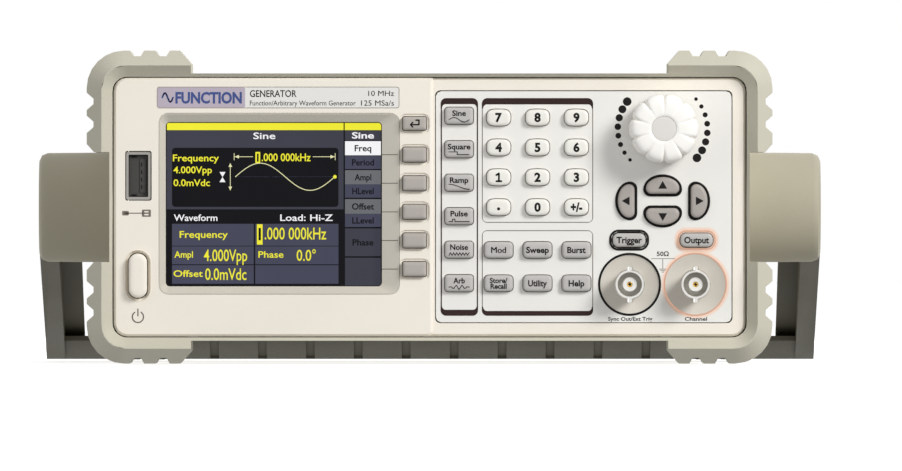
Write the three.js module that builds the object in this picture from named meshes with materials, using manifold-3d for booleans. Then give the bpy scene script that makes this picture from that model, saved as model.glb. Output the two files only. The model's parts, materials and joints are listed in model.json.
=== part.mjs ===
// Bench function generator: a half-rack instrument with a keypad front, soft corner boots
// and a U-shaped carrying handle. Millimetres, +X right, +Y back, +Z up, front face towards -Y.
import * as THREE from 'three';
import { mergeVertices } from 'three/addons/utils/BufferGeometryUtils.js';
import Module from 'manifold-3d';

const wasm = await Module();
wasm.setup();

// ---- driving dimensions -------------------------------------------------------------------

const GAP = 0.3; // clearance between neighbouring parts
const WIDTH = 229.4; // over the boots
const HEIGHT = 104.7; // over the boots
const MIDDLE_Z = HEIGHT / 2;
const CASE_WIDTH = 211.4;
const CASE_HEIGHT = 86.6;
const CASE_RADIUS = 4.5;
const WALL = 1.2;
const CASE_FLOOR = MIDDLE_Z - CASE_HEIGHT / 2;
const CASE_ROOF = MIDDLE_Z + CASE_HEIGHT / 2;

// depths, measured from the front face of the display slab
const KNOB_FRONT = -13;
const BOOT_FRONT = -4;
const PANEL_FRONT = 1.5;
const BEZEL_RIM_FRONT = 1.2;
const BEZEL_WALL_BACK = 4.2;
const BEZEL_BACK = 16;
const PANEL_BACK = 6.5;
const BOARD_FRONT = 11.5;
const CASE_BACK = 262;
const REAR_PANEL_FRONT = 256;
const REAR_PANEL_BACK = 258;
const BOOT_BACK = 268;
const FRONT_BOOT_END = 58;
const REAR_BOOT_START = 239;

const SCREEN = { x: -52.15, z: 53.3, width: 72.1, height: 54.8, recessX: -50.3, recessZ: 53.45,
  recessWidth: 80.6, recessHeight: 60.7, recessRadius: 3.2, recessDepth: 2.4 };
const PANEL = { left: 2.1, right: 101, bottom: 13.8, top: 91.1, radius: 1.8 };
const SLAB_RIGHT = 1.1;

const SOFT_KEYS = { x: -5.05, firstZ: 69.9, pitch: 9.57, width: 8.4, height: 5.35, radius: 1 };
const RETURN_KEY = { x: -5.05, z: 80.3, width: 8.4, height: 4.9, radius: 1 };
const WAVE_KEYS = { x: 9.87, firstZ: 82.9, pitch: 11.2, width: 9.9, height: 6, radius: 1.6 };
const NUMBER_KEYS = { firstX: 23.08, pitchX: 13.02, firstZ: 82.3, pitchZ: 10, width: 8.4,
  height: 5.95, radius: 2 };
const FUNCTION_KEYS = { firstX: 23.08, pitchX: 13.02, firstZ: 38, pitchZ: 11.15, width: 10,
  height: 5.9, radius: 1.4 };
const ARROWS = { x: 77.96, z: 54.4, reachX: 12.2, reachZ: 5.2, width: 11.2, height: 5.6 };
const ARROW_RIM = 0.9;
const TRIGGER = { x: 66.75, z: 41.3, width: 11.3, height: 5, radius: 2 };
const OUTPUT = { x: 89.3, z: 41.3, width: 11.3, height: 5, radius: 2 };
const POWER = { x: -97.55, z: 29.4, width: 6.15, height: 14.85 };
const USB = { x: -97.4, z: 62.8, width: 8.2, height: 16 };
const KEY_PROUD = 2.2; // how far a key stands out of its wall
const KEY_FLANGE = 0.8;
const KEY_POCKET = { margin: 0.75, depth: 0.5 }; // shallow step round each key of the display slab
const POWER_POCKET = { margin: 1.1, depth: 1.4 };

const KNOB = { x: 78.3, z: 78.5, radius: 11.7, lobes: 10, shaft: 3 };
const BNC = { z: 26.5, sync: 66.9, channel: 88.9, barrel: 4.8, front: -9, dish: 10.4, dishFloor: 4 };
const MAINS = { x: -58, z: 42, width: 26.6, height: 19.6 };
const USB_DEVICE = { x: 12, z: 36, width: 12, height: 11 };

const HUB = { y: 92, z: MIDDLE_Z, radius: 18.6, outer: 132.1 };
const ARM = { plate: 6.4, depth: 13.1, taper: 0.1, hubHalf: 15, endHalf: 8 };
const BAR = { y: 221, front: 210, back: 232, bottom: 0.3, top: 8.3 };
const GRIP = { count: 14, pitch: 16.5, width: 3, depth: 1 };

// ---- solids -------------------------------------------------------------------------------

// Turn a three.js geometry into a closed solid that faces outward.
function solid(geometry) {
  const bare = geometry.clone();
  bare.deleteAttribute('normal');
  bare.deleteAttribute('uv');
  const merged = mergeVertices(bare, 1e-4);
  const points = merged.getAttribute('position').array;
  const corners = [];
  let volume = 0;
  for (let i = 0; i < merged.index.count; i += 3) {
    const [a, b, c] = [0, 1, 2].map((k) => merged.index.getX(i + k));
    if (a === b || b === c || a === c) continue;
    corners.push(a, b, c);
    const [p, q, r] = [a, b, c].map((k) => new THREE.Vector3().fromArray(points, 3 * k));
    volume += p.dot(q.cross(r));
  }
  if (volume < 0) corners.reverse();
  return new wasm.Manifold(new wasm.Mesh({
    numProp: 3,
    vertProperties: new Float32Array(points),
    triVerts: new Uint32Array(corners),
  }));
}

function union(solids) {
  return solids.reduce((whole, piece) => whole.add(piece));
}

function cut(body, cutters) {
  return cutters.reduce((rest, cutter) => rest.subtract(cutter), body);
}

// A box between two corners.
function block(x0, x1, y0, y1, z0, z1) {
  const box = new THREE.BoxGeometry(x1 - x0, y1 - y0, z1 - z0);
  return solid(box.translate((x0 + x1) / 2, (y0 + y1) / 2, (z0 + z1) / 2));
}

// Extrude an X-Z outline along Y from front to back, its ends chamfered when asked.
function prism(shape, front, back, options = {}) {
  const { x = 0, z = 0, chamfer = 0, inset = chamfer, arcs = 2 } = options;
  const geometry = new THREE.ExtrudeGeometry(shape, {
    depth: back - front - 2 * chamfer,
    bevelEnabled: chamfer > 0,
    bevelThickness: chamfer,
    bevelSize: inset,
    bevelOffset: -inset,
    bevelSegments: 1,
    curveSegments: arcs,
  });
  return solid(geometry.rotateX(Math.PI / 2).translate(x, back - chamfer, z));
}

// Spin a closed radius-and-depth profile round an axis that lies along Y.
function turned(profile, x, z, segments = 32) {
  const points = profile.map(([radius, y]) => new THREE.Vector2(radius, y));
  points.push(points[0].clone());
  return solid(new THREE.LatheGeometry(points, segments).translate(x, 0, z));
}

// The same, round an axis that lies along X.
function turnedAcross(profile, y, z, segments = 32) {
  const points = profile.map(([radius, x]) => new THREE.Vector2(radius, x));
  points.push(points[0].clone());
  return solid(new THREE.LatheGeometry(points, segments).rotateZ(-Math.PI / 2).translate(0, y, z));
}

function rod(x, z, radius, front, back, segments = 24) {
  return turned([[0, front], [radius, front], [radius, back], [0, back]], x, z, segments);
}

// ---- outlines -----------------------------------------------------------------------------

function roundedRect(width, height, radius) {
  const [w, h] = [width / 2 - radius, height / 2 - radius];
  const shape = new THREE.Shape();
  shape.absarc(w, h, radius, 0, Math.PI / 2);
  shape.absarc(-w, h, radius, Math.PI / 2, Math.PI);
  shape.absarc(-w, -h, radius, Math.PI, 1.5 * Math.PI);
  shape.absarc(w, -h, radius, 1.5 * Math.PI, 2 * Math.PI);
  return shape;
}

function polygon(points) {
  return new THREE.Shape(points.map(([x, y]) => new THREE.Vector2(x, y)));
}

// A key with a flat base and an arched crown, turned by quarter turns.
function domeOutline(width, height, quarterTurns) {
  const arch = new THREE.EllipseCurve(0, -height * 0.18, width / 2, height * 0.68, 0, Math.PI);
  const corner = height * 0.32;
  const points = arch.getPoints(8);
  points.push(new THREE.Vector2(-width / 2 + corner * 0.3, -height / 2 + corner * 0.3));
  points.push(new THREE.Vector2(-width / 2 + corner, -height / 2));
  points.push(new THREE.Vector2(width / 2 - corner, -height / 2));
  points.push(new THREE.Vector2(width / 2 - corner * 0.3, -height / 2 + corner * 0.3));
  const centre = new THREE.Vector2(0, 0);
  return new THREE.Shape(points.map((point) => point.rotateAround(centre, quarterTurns * Math.PI / 2)));
}

function lobedOutline(radius, lobes) {
  const points = [];
  const steps = lobes * 6;
  for (let i = 0; i < steps; i += 1) {
    const angle = 2 * Math.PI * i / steps;
    const swell = Math.abs(Math.cos(angle * lobes / 2));
    const reach = radius - 0.9 * (1 - swell) ** 2;
    points.push([reach * Math.cos(angle), reach * Math.sin(angle)]);
  }
  return polygon(points);
}

// ---- materials ----------------------------------------------------------------------------

const plastic = (color, roughness = 0.55) => new THREE.MeshStandardMaterial({ color, roughness, metalness: 0 });
const metal = (color, roughness = 0.3) => new THREE.MeshStandardMaterial({ color, roughness, metalness: 1 });

const ivory = () => plastic(0xece4d9);
const greyKey = () => plastic(0xb4b1ac, 0.5);
const whiteKey = () => plastic(0xf0efeb, 0.5);
const bootRubber = () => plastic(0xb9b7a4, 0.75);
const handlePlastic = () => plastic(0xaaa592, 0.6);
const nickel = () => metal(0xd6d4cc);
const blackPlastic = () => plastic(0x17171a, 0.45);
const circuitBoard = () => plastic(0x1f5a37, 0.5);
const sheetMetal = () => metal(0xc9c6b8, 0.45);

// ---- the object ---------------------------------------------------------------------------

const group = new THREE.Group();
group.position.y = -(KNOB_FRONT + BOOT_BACK) / 2;

// Name a finished solid, give it a material and add it to the object.
function addPart(name, body, material) {
  const { vertProperties, triVerts } = body.getMesh();
  const geometry = new THREE.BufferGeometry();
  geometry.setAttribute('position', new THREE.BufferAttribute(new Float32Array(vertProperties), 3));
  geometry.setIndex(new THREE.BufferAttribute(new Uint32Array(triVerts), 1));
  const flat = geometry.toNonIndexed();
  flat.computeVertexNormals();
  const mesh = new THREE.Mesh(flat, material);
  mesh.name = name;
  mesh.castShadow = true;
  group.add(mesh);
}

// ---- keys ---------------------------------------------------------------------------------

// Every key: where it is, its outline and the wall it comes through. wall: 'bezel' or 'panel'.
function rectKey(name, x, z, size, wall, material) {
  const outline = (margin) => roundedRect(size.width + 2 * margin, size.height + 2 * margin,
    size.radius + Math.max(margin, 0));
  return { name, x, z, outline, wall, material, rim: GAP };
}

function listKeys() {
  const keys = [rectKey('return_key', RETURN_KEY.x, RETURN_KEY.z, RETURN_KEY, 'bezel', greyKey())];
  for (let i = 0; i < 5; i += 1) {
    const z = SOFT_KEYS.firstZ - i * SOFT_KEYS.pitch;
    keys.push(rectKey(`soft_key_${i + 1}`, SOFT_KEYS.x, z, SOFT_KEYS, 'bezel', greyKey()));
  }
  ['sine', 'square', 'ramp', 'pulse', 'noise', 'arbitrary'].forEach((wave, i) => {
    const z = WAVE_KEYS.firstZ - i * WAVE_KEYS.pitch;
    keys.push(rectKey(`wave_key_${wave}`, WAVE_KEYS.x, z, WAVE_KEYS, 'panel', greyKey()));
  });
  keys.push(...gridKeys('number_key', ['7', '8', '9', '4', '5', '6', '1', '2', '3', 'point', '0', 'sign'],
    NUMBER_KEYS, whiteKey));
  keys.push(...gridKeys('function_key', ['mod', 'sweep', 'burst', 'store', 'utility', 'help'],
    FUNCTION_KEYS, greyKey));
  keys.push(...arrowKeys());
  keys.push(rectKey('trigger_key', TRIGGER.x, TRIGGER.z, TRIGGER, 'panel', greyKey()));
  keys.push(rectKey('output_key', OUTPUT.x, OUTPUT.z, OUTPUT, 'panel', greyKey()));
  return keys;
}

// Three keys to a row, filled from the top left.
function gridKeys(prefix, labels, layout, material) {
  return labels.map((label, i) => {
    const x = layout.firstX + (i % 3) * layout.pitchX;
    const z = layout.firstZ - Math.floor(i / 3) * layout.pitchZ;
    return rectKey(`${prefix}_${label}`, x, z, layout, 'panel', material());
  });
}

function arrowKeys() {
  return ['up', 'left', 'down', 'right'].map((side, turns) => {
    const angle = (turns + 1) * Math.PI / 2;
    return {
      name: `arrow_key_${side}`,
      x: ARROWS.x + ARROWS.reachX * Math.round(Math.cos(angle)),
      z: ARROWS.z + ARROWS.reachZ * Math.round(Math.sin(angle)),
      outline: (margin) => domeOutline(ARROWS.width + 2 * margin, ARROWS.height + 2 * margin, turns),
      wall: 'panel',
      material: greyKey(),
      rim: ARROW_RIM,
    };
  });
}

const keys = listKeys();

// A cap with a chamfered face and a flange that stops it behind the wall.
function addKey(key) {
  const front = (key.wall === 'bezel' ? 0 : PANEL_FRONT) - KEY_PROUD;
  const flangeFront = (key.wall === 'bezel' ? BEZEL_WALL_BACK : PANEL_BACK) + 0.4;
  const place = { x: key.x, z: key.z, arcs: 1 };
  const cap = prism(key.outline(0), front, flangeFront + 1, { ...place, chamfer: 0.6 });
  const flange = prism(key.outline(key.rim + KEY_FLANGE - GAP), flangeFront, flangeFront + 1.2, place);
  addPart(key.name, cap.add(flange), key.material);
}

function keyHoles(wall, front, back) {
  return keys.filter((key) => key.wall === wall)
    .map((key) => prism(key.outline(key.rim), front, back, { x: key.x, z: key.z, arcs: 1 }));
}

function powerOutline(margin) {
  return roundedRect(POWER.width + 2 * margin, POWER.height + 2 * margin, POWER.width / 2 + margin - 0.3);
}

function addPowerButton() {
  const place = { x: POWER.x, z: POWER.z };
  const cap = prism(powerOutline(0), -3, 6, { ...place, chamfer: 0.8 });
  const flange = prism(powerOutline(0.6), BEZEL_WALL_BACK + 0.4, 6.4, place);
  addPart('power_button', cap.add(flange), ivory());
}

// ---- front --------------------------------------------------------------------------------

function slabOutline() {
  const [left, right] = [-CASE_WIDTH / 2, SLAB_RIGHT];
  const shape = new THREE.Shape();
  const r = CASE_RADIUS;
  const [low, high] = [CASE_FLOOR, CASE_ROOF];
  shape.moveTo(right, high);
  shape.lineTo(left + r, high);
  shape.absarc(left + r, high - r, r, Math.PI / 2, Math.PI);
  shape.absarc(left + r, low + r, r, Math.PI, 1.5 * Math.PI);
  shape.absarc(right - 2, low + 2, 2, 1.5 * Math.PI, 2 * Math.PI);
  return shape;
}

function addFrontBezel() {
  const centre = { z: MIDDLE_Z };
  const rim = prism(roundedRect(CASE_WIDTH, CASE_HEIGHT, CASE_RADIUS), BEZEL_RIM_FRONT, BEZEL_BACK,
    { ...centre, chamfer: 0.8 });
  const slab = prism(slabOutline(), 0, 6, { chamfer: 0.8 });
  const inner = roundedRect(CASE_WIDTH - 4.4, CASE_HEIGHT - 4.4, CASE_RADIUS - 2.2);
  const cavity = prism(inner, BEZEL_WALL_BACK, BEZEL_BACK + 1, centre);
  const recess = prism(roundedRect(SCREEN.recessWidth, SCREEN.recessHeight, SCREEN.recessRadius), -1,
    SCREEN.recessDepth, { x: SCREEN.recessX, z: SCREEN.recessZ });
  const window = prism(roundedRect(SCREEN.width, SCREEN.height, 0.5), 0, 5,
    { x: SCREEN.x, z: SCREEN.z, arcs: 1 });
  const panelHole = prism(panelOutline(GAP), -1, 5);
  const usbHole = prism(roundedRect(USB.width + 2 * GAP, USB.height + 2 * GAP, 0.6), -1, 5,
    { x: USB.x, z: USB.z, arcs: 1 });
  const power = { x: POWER.x, z: POWER.z };
  const powerHole = prism(powerOutline(GAP), -1, 5, power);
  const powerPocket = prism(powerOutline(POWER_POCKET.margin), -1, POWER_POCKET.depth, power);
  const pockets = keys.filter((key) => key.wall === 'bezel')
    .map((key) => prism(key.outline(KEY_POCKET.margin), -1, KEY_POCKET.depth, { x: key.x, z: key.z, arcs: 1 }));
  const holes = [cavity, recess, window, panelHole, usbHole, powerHole, powerPocket, ...pockets,
    ...keyHoles('bezel', -1, 5)];
  addPart('front_bezel', cut(rim.add(slab), holes), ivory());
}

function panelOutline(margin) {
  const [left, right] = [PANEL.left - margin, PANEL.right + margin];
  const [bottom, top] = [PANEL.bottom - margin, PANEL.top + margin];
  const r = PANEL.radius;
  const shape = new THREE.Shape();
  shape.absarc(right - r, top - r, r, 0, Math.PI / 2);
  shape.absarc(left + r, top - r, r, Math.PI / 2, Math.PI);
  shape.absarc(left + r, bottom + r, r, Math.PI, 1.5 * Math.PI);
  shape.absarc(right - r, bottom + r, r, 1.5 * Math.PI, 2 * Math.PI);
  return shape;
}

// The keypad plate, with a dish round each output jack.
function addKeypadPanel() {
  const plate = prism(panelOutline(0), PANEL_FRONT, PANEL_BACK, { arcs: 1 });
  const flange = prism(panelOutline(1.2), BEZEL_WALL_BACK + GAP, PANEL_BACK, { arcs: 1 });
  const jacks = [BNC.sync, BNC.channel];
  const bosses = jacks.map((x) => rod(x, BNC.z, 9.8, 4, 8.2));
  const dishes = jacks.map((x) => turned([[0, 0], [BNC.dish + 3, 0], [BNC.barrel + 0.6, BNC.dishFloor],
    [BNC.barrel + GAP, BNC.dishFloor], [BNC.barrel + GAP, 9], [0, 9]], x, BNC.z));
  const knobHole = rod(KNOB.x, KNOB.z, 3.5 + GAP, 0, 8);
  const holes = [...dishes, knobHole, ...keyHoles('panel', 0, 8)];
  addPart('keypad_panel', cut(union([plate, flange, ...bosses]), holes), plastic(0xebe8e4));
}

function addDisplay() {
  const [left, right] = [-91, -13.4];
  addPart('display_window', block(left, right, 4.5, 5.9, 23.2, 83.4), plastic(0x2c3038, 0.1));
  const module = union([block(left, right, 6.2, 9.4, 23.2, 83.4), block(-80, -24, 9, 10.8, 30, 76)]);
  addPart('display_module', module, plastic(0x4a4c58, 0.4));
}

// ---- knob and jacks -----------------------------------------------------------------------

function addKnob() {
  const body = prism(lobedOutline(KNOB.radius, KNOB.lobes), KNOB_FRONT, 0.6,
    { x: KNOB.x, z: KNOB.z, chamfer: 1 });
  const dimple = rod(KNOB.x, KNOB.z, 4.1, KNOB_FRONT - 1, KNOB_FRONT + 0.8);
  const bore = rod(KNOB.x, KNOB.z, KNOB.shaft + GAP, KNOB_FRONT + 3, 1);
  addPart('knob', cut(body, [dimple, bore]), whiteKey());
  const shaft = rod(KNOB.x, KNOB.z, KNOB.shaft - 0.2, KNOB_FRONT + 3.3, 10);
  addPart('encoder_shaft', shaft, nickel());
}

function addEncoder() {
  const half = 6;
  const bush = rod(KNOB.x, KNOB.z, 3.5, 1, 8);
  const body = block(KNOB.x - half, KNOB.x + half, 6.8, 11.2, KNOB.z - half, KNOB.z + half);
  const bore = rod(KNOB.x, KNOB.z, KNOB.shaft, 0, 10.3);
  addPart('encoder', cut(bush.add(body), [bore]), nickel());
}

// A bayonet jack: barrel with two lugs, socket and centre contact.
function addJack(name, x) {
  const r = BNC.barrel;
  const barrel = turned([[0, -3.8], [0.9, -3.8], [1.3, -2.5], [1.3, 9], [3.9, 9], [3.9, BNC.front],
    [r - 0.3, BNC.front], [r, BNC.front + 0.4], [r, 8.5], [7.4, 8.5], [7.4, 10], [5.8, 10], [5.8, 19],
    [1, 19], [1, 23], [0, 23]], x, BNC.z, 24);
  const lug = block(x - 1.15, x + 1.15, BNC.front + 2.4, BNC.front + 4.6, BNC.z - 6.1, BNC.z + 6.1);
  const clear = rod(x, BNC.z, 4.2, BNC.front, 6);
  addPart(name, barrel.add(lug.subtract(clear)), nickel());
}

function addUsbHostPort() {
  const place = { x: USB.x, z: USB.z, arcs: 1 };
  const shell = prism(roundedRect(USB.width, USB.height, 0.5), 0.8, 19, place);
  const mouth = prism(roundedRect(USB.width - 1.6, USB.height - 1.8, 0.3), 0, 17.5, place);
  const tongue = block(USB.x + 0.6, USB.x + 2.5, 6, 18, USB.z - 5.6, USB.z + 5.6);
  addPart('usb_host_port', shell.subtract(mouth).add(tongue), nickel());
}

// ---- case ---------------------------------------------------------------------------------

const SPLIT_Z = 22;
const BOARD_THICKNESS = 1.6;
const MAIN_BOARD_TOP = 20.6;
const SUPPLY_BOARD_TOP = 17.6;

function caseShell() {
  const centre = { z: MIDDLE_Z };
  const outer = prism(roundedRect(CASE_WIDTH, CASE_HEIGHT, CASE_RADIUS), BEZEL_BACK + GAP, CASE_BACK, centre);
  const inner = roundedRect(CASE_WIDTH - 2 * WALL, CASE_HEIGHT - 2 * WALL, CASE_RADIUS - WALL);
  return outer.subtract(prism(inner, BEZEL_BACK, CASE_BACK + 1, centre));
}

function addTopCover() {
  const below = block(-WIDTH, WIDTH, 0, CASE_BACK + 1, 0, SPLIT_Z);
  const slots = [];
  for (let i = 0; i < 9; i += 1) {
    const y = 150 + i * 8;
    slots.push(block(-WIDTH, WIDTH, y, y + 3, 62, 84));
  }
  const pivot = turnedAcross([[0, -120], [6.3, -120], [6.3, 120], [0, 120]], HUB.y, HUB.z, 24);
  addPart('top_cover', cut(caseShell(), [below, ...slots, pivot]), sheetMetal());
}

// Four posts that hold a board just above them.
function boardPosts(columns, rows, underside) {
  const [low, high] = [CASE_FLOOR + WALL / 2, underside - GAP];
  return columns.flatMap((x) => rows.map((y) => {
    const post = new THREE.CylinderGeometry(2.6, 2.6, high - low, 8).rotateX(Math.PI / 2);
    return solid(post.translate(x, y, (low + high) / 2));
  }));
}

// The tray that the boards stand in, with posts under each board.
function addBottomChassis() {
  const above = block(-WIDTH, WIDTH, 0, CASE_BACK + 1, SPLIT_Z - GAP, HEIGHT);
  const posts = [...boardPosts([-14, 90], [48, 225], MAIN_BOARD_TOP - BOARD_THICKNESS),
    ...boardPosts([-94, -32], [114, 223], SUPPLY_BOARD_TOP - BOARD_THICKNESS)];
  addPart('bottom_chassis', union([cut(caseShell(), [above]), ...posts]), sheetMetal());
}

function addRearPanel() {
  const margin = 2 * (WALL + GAP);
  const radius = CASE_RADIUS - WALL - GAP;
  const plate = prism(roundedRect(CASE_WIDTH - margin, CASE_HEIGHT - margin, radius), REAR_PANEL_FRONT,
    REAR_PANEL_BACK, { z: MIDDLE_Z });
  const inlet = block(MAINS.x - MAINS.width / 2 - GAP, MAINS.x + MAINS.width / 2 + GAP, 250, 262,
    MAINS.z - MAINS.height / 2 - GAP, MAINS.z + MAINS.height / 2 + GAP);
  const usb = block(USB_DEVICE.x - USB_DEVICE.width / 2 - GAP, USB_DEVICE.x + USB_DEVICE.width / 2 + GAP,
    250, 262, USB_DEVICE.z - USB_DEVICE.height / 2 - GAP, USB_DEVICE.z + USB_DEVICE.height / 2 + GAP);
  const slots = [];
  for (let i = 0; i < 8; i += 1) {
    const x = 38 + i * 6;
    slots.push(block(x, x + 3, 250, 262, 50, 80));
  }
  addPart('rear_panel', cut(plate, [inlet, usb, ...slots]), sheetMetal());
}

function addMainsInlet() {
  const { x, z, width, height } = MAINS;
  const flange = prism(roundedRect(width + 6, height + 6, 2), REAR_PANEL_BACK + GAP, 261, { x, z, arcs: 1 });
  const body = block(x - width / 2, x + width / 2, 238, 260, z - height / 2, z + height / 2);
  const [w, h] = [11.6, 7.8];
  const mouth = prism(polygon([[-w, -h], [w, -h], [w, h - 3.4], [w - 3.4, h], [3.4 - w, h], [-w, h - 3.4]]),
    244, 262, { x, z });
  const pins = [[-7, -1.5], [7, -1.5], [0, 2.5]].map(([dx, dz]) => block(x + dx - 1, x + dx + 1, 243,
    255.5, z + dz - 2, z + dz + 2));
  addPart('mains_inlet', union([cut(flange.add(body), [mouth]), ...pins]), blackPlastic());
}

function addUsbDevicePort() {
  const { x, z, width, height } = USB_DEVICE;
  const shell = block(x - width / 2, x + width / 2, 243, 259.5, z - height / 2, z + height / 2);
  const mouth = block(x - 4.4, x + 4.4, 245, 260, z - 4, z + 4);
  const tongue = block(x - 2.8, x + 2.8, 244, 254.6, z - 1.6, z + 1.6);
  addPart('usb_device_port', shell.subtract(mouth).add(tongue), nickel());
}

// ---- boards -------------------------------------------------------------------------------

function addBoards() {
  const keypad = block(-11.2, 102.4, BOARD_FRONT, BOARD_FRONT + BOARD_THICKNESS, 13, 92);
  const jackHoles = [BNC.sync, BNC.channel].map((x) => rod(x, BNC.z, 6.3, 10.5, 14, 16));
  addPart('keypad_board', cut(keypad, jackHoles), circuitBoard());

  const top = MAIN_BOARD_TOP;
  const main = block(-20, 96, 42, 232, top - BOARD_THICKNESS, top);
  const chips = [block(20, 48, 90, 118, top - 0.5, top + 3), block(60, 84, 60, 84, top - 0.5, top + 8),
    block(0, 14, 60, 80, top - 0.5, top + 4), block(30, 70, 150, 180, top - 0.5, top + 14)];
  addPart('main_board', union([main, ...chips]), circuitBoard());

  const base = SUPPLY_BOARD_TOP;
  const supply = block(-98, -28, 110, 228, base - BOARD_THICKNESS, base);
  const blocks = [block(-90, -60, 125, 160, base - 0.5, 48), block(-50, -34, 120, 200, base - 0.5, 42),
    block(-88, -64, 180, 215, base - 0.5, 40)];
  addPart('power_supply', union([supply, ...blocks]), circuitBoard());
}

// ---- boots --------------------------------------------------------------------------------

// Grooves that give the thick corners their teeth, as X-Z outlines for the corner at top left.
function grooveOutlines() {
  const [left, top] = [-WIDTH / 2, HEIGHT];
  const over = [-97.9, -89.3].map((x) => [[x - 2.4, top + 1], [x - 2.4, top], [x - 1.3, top - 1.9],
    [x + 1.3, top - 1.9], [x + 2.4, top], [x + 2.4, top + 1]]);
  const beside = [87.7, 80].map((z) => [[left - 1, z - 2.9], [left, z - 2.9], [left + 2.3, z - 0.9],
    [left + 2.3, z + 0.9], [left, z + 2.9], [left - 1, z + 2.9]]);
  return [...over, ...beside];
}

// Cutters for one outline, mirrored to all four corners.
function mirroredPrisms(outline, front, back) {
  const cutters = [];
  for (const sideways of [1, -1]) {
    for (const upright of [1, -1]) {
      const points = outline.map(([x, z]) => [x * sideways, upright > 0 ? z : HEIGHT - z]);
      cutters.push(prism(polygon(points), front, back));
    }
  }
  return cutters;
}

// A soft ring with four thick corners, ridge to the front, from 0 back to its length. endX: where
// the corners stop across the roof.
function bootSolid(length, endX) {
  const centre = { z: MIDDLE_Z, arcs: 3 };
  const ring = prism(roundedRect(WIDTH, HEIGHT, 12.5), 0, length, { ...centre, chamfer: 5 });
  const bore = prism(roundedRect(CASE_WIDTH + 2 * GAP, CASE_HEIGHT + 2 * GAP, CASE_RADIUS + GAP), -1,
    length + 1, centre);
  const funnel = prism(roundedRect(WIDTH - 10, HEIGHT - 10, 8.5), -10, 4,
    { ...centre, chamfer: 4, inset: 3.6 });
  const [endZ, web] = [18.4, 1.4];
  const [roof, side] = [CASE_ROOF + web, CASE_WIDTH / 2 + web];
  const overCase = [[endX, roof], [endX, roof + 3.4], [endX + 3.7, HEIGHT], [endX + 3.7, HEIGHT + 5],
    [-endX - 3.7, HEIGHT + 5], [-endX - 3.7, HEIGHT], [-endX, roof + 3.4], [-endX, roof]];
  const underCase = overCase.map(([x, z]) => [x, HEIGHT - z]);
  const beside = [[side, endZ], [side + 5.2, endZ], [WIDTH / 2, endZ + 2.7], [WIDTH / 2 + 5, endZ + 2.7],
    [WIDTH / 2 + 5, -endZ - 2.7], [WIDTH / 2, -endZ - 2.7], [side + 5.2, -endZ], [side, -endZ]]
    .map(([x, z]) => [x, MIDDLE_Z + z]);
  const besideLeft = beside.map(([x, z]) => [-x, z]);
  const hollows = [overCase, underCase, beside, besideLeft]
    .map((outline) => prism(polygon(outline), -1, length + 1));
  const grooves = grooveOutlines().flatMap((outline) => mirroredPrisms(outline, -1, length + 1));
  return cut(ring, [bore, funnel, ...hollows, ...grooves]);
}

function addBoots() {
  const front = bootSolid(FRONT_BOOT_END - BOOT_FRONT, 79.8).translate([0, BOOT_FRONT, 0]);
  addPart('front_boot', front, bootRubber());
  const rear = bootSolid(BOOT_BACK - REAR_BOOT_START, 82.5).rotate([0, 0, 180])
    .translate([0, BOOT_BACK, 0]);
  addPart('rear_boot', rear, bootRubber());
}

// ---- handle -------------------------------------------------------------------------------

// The fixed boss that the handle turns on. side: -1 left, 1 right.
function addHub(name, side) {
  const inner = CASE_WIDTH / 2;
  const profile = [[0, inner - WALL - 1], [6, inner - WALL - 1], [6, inner + GAP], [15.8, inner + GAP],
    [15.8, HUB.outer - 3.3], [0, HUB.outer - 3.3]];
  const placed = profile.map(([radius, x]) => [radius, x * side]);
  addPart(name, turnedAcross(placed, HUB.y, HUB.z), handlePlastic());
}

// A cup over the boss, closed on the outside.
function drum(side) {
  const start = CASE_WIDTH / 2 + 0.6;
  const round = 2.8;
  const profile = [[16.1, start], [HUB.radius, start], [HUB.radius - 0.2, HUB.outer - round],
    [HUB.radius - 1, HUB.outer - round * 0.3], [HUB.radius - round, HUB.outer], [0, HUB.outer],
    [0, HUB.outer - 3], [16.1, HUB.outer - 3]];
  return turnedAcross(profile.map(([radius, x]) => [radius, x * side]), HUB.y, HUB.z, 36);
}

// One arm as seen from the side: it tapers from the drum down and back to the bar.
function armOutline() {
  const length = Math.hypot(BAR.y - HUB.y, HUB.z - (BAR.bottom + BAR.top) / 2);
  const slope = Math.asin((HUB.z - (BAR.bottom + BAR.top) / 2) / length);
  const along = (s, t) => [HUB.y + s * Math.cos(slope) + t * Math.sin(slope),
    HUB.z - s * Math.sin(slope) + t * Math.cos(slope)];
  return { length, along };
}

// Extrude a Y-Z outline along X between two planes.
function sidePrism(points, x0, x1) {
  const shape = polygon(points);
  const geometry = new THREE.ExtrudeGeometry(shape, { depth: x1 - x0, bevelEnabled: false });
  geometry.applyMatrix4(new THREE.Matrix4().set(0, 0, 1, x0, 1, 0, 0, 0, 0, 1, 0, 0, 0, 0, 0, 1));
  return solid(geometry);
}

// Outer plate and the flange along its upper edge, for the right side.
function arm() {
  const { length, along } = armOutline();
  const { hubHalf, endHalf } = ARM;
  const outer = HUB.outer - 0.05;
  const plate = sidePrism([along(0, hubHalf), along(0, -hubHalf), [BAR.back - 7, BAR.bottom],
    [BAR.back - 3, BAR.bottom], [BAR.back, BAR.bottom + 3], [BAR.back, BAR.top + 1],
    along(length + 2, endHalf)], outer - ARM.plate, outer);
  const flange = sidePrism([along(17, hubHalf - 1.5), along(17, hubHalf - 7), along(length - 6, endHalf - 5),
    [BAR.back - 2, BAR.bottom + 3], [BAR.back - 0.2, BAR.top + 1], along(length - 1, endHalf - 0.2)],
  outer - ARM.depth, outer - 1);
  const taper = new THREE.BoxGeometry(8, 200, 40).translate(4, 0, 0);
  taper.rotateZ(Math.atan(ARM.taper / length)).translate(outer, HUB.y + HUB.radius, 20);
  return cut(plate.add(flange), [solid(taper)]);
}

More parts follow.
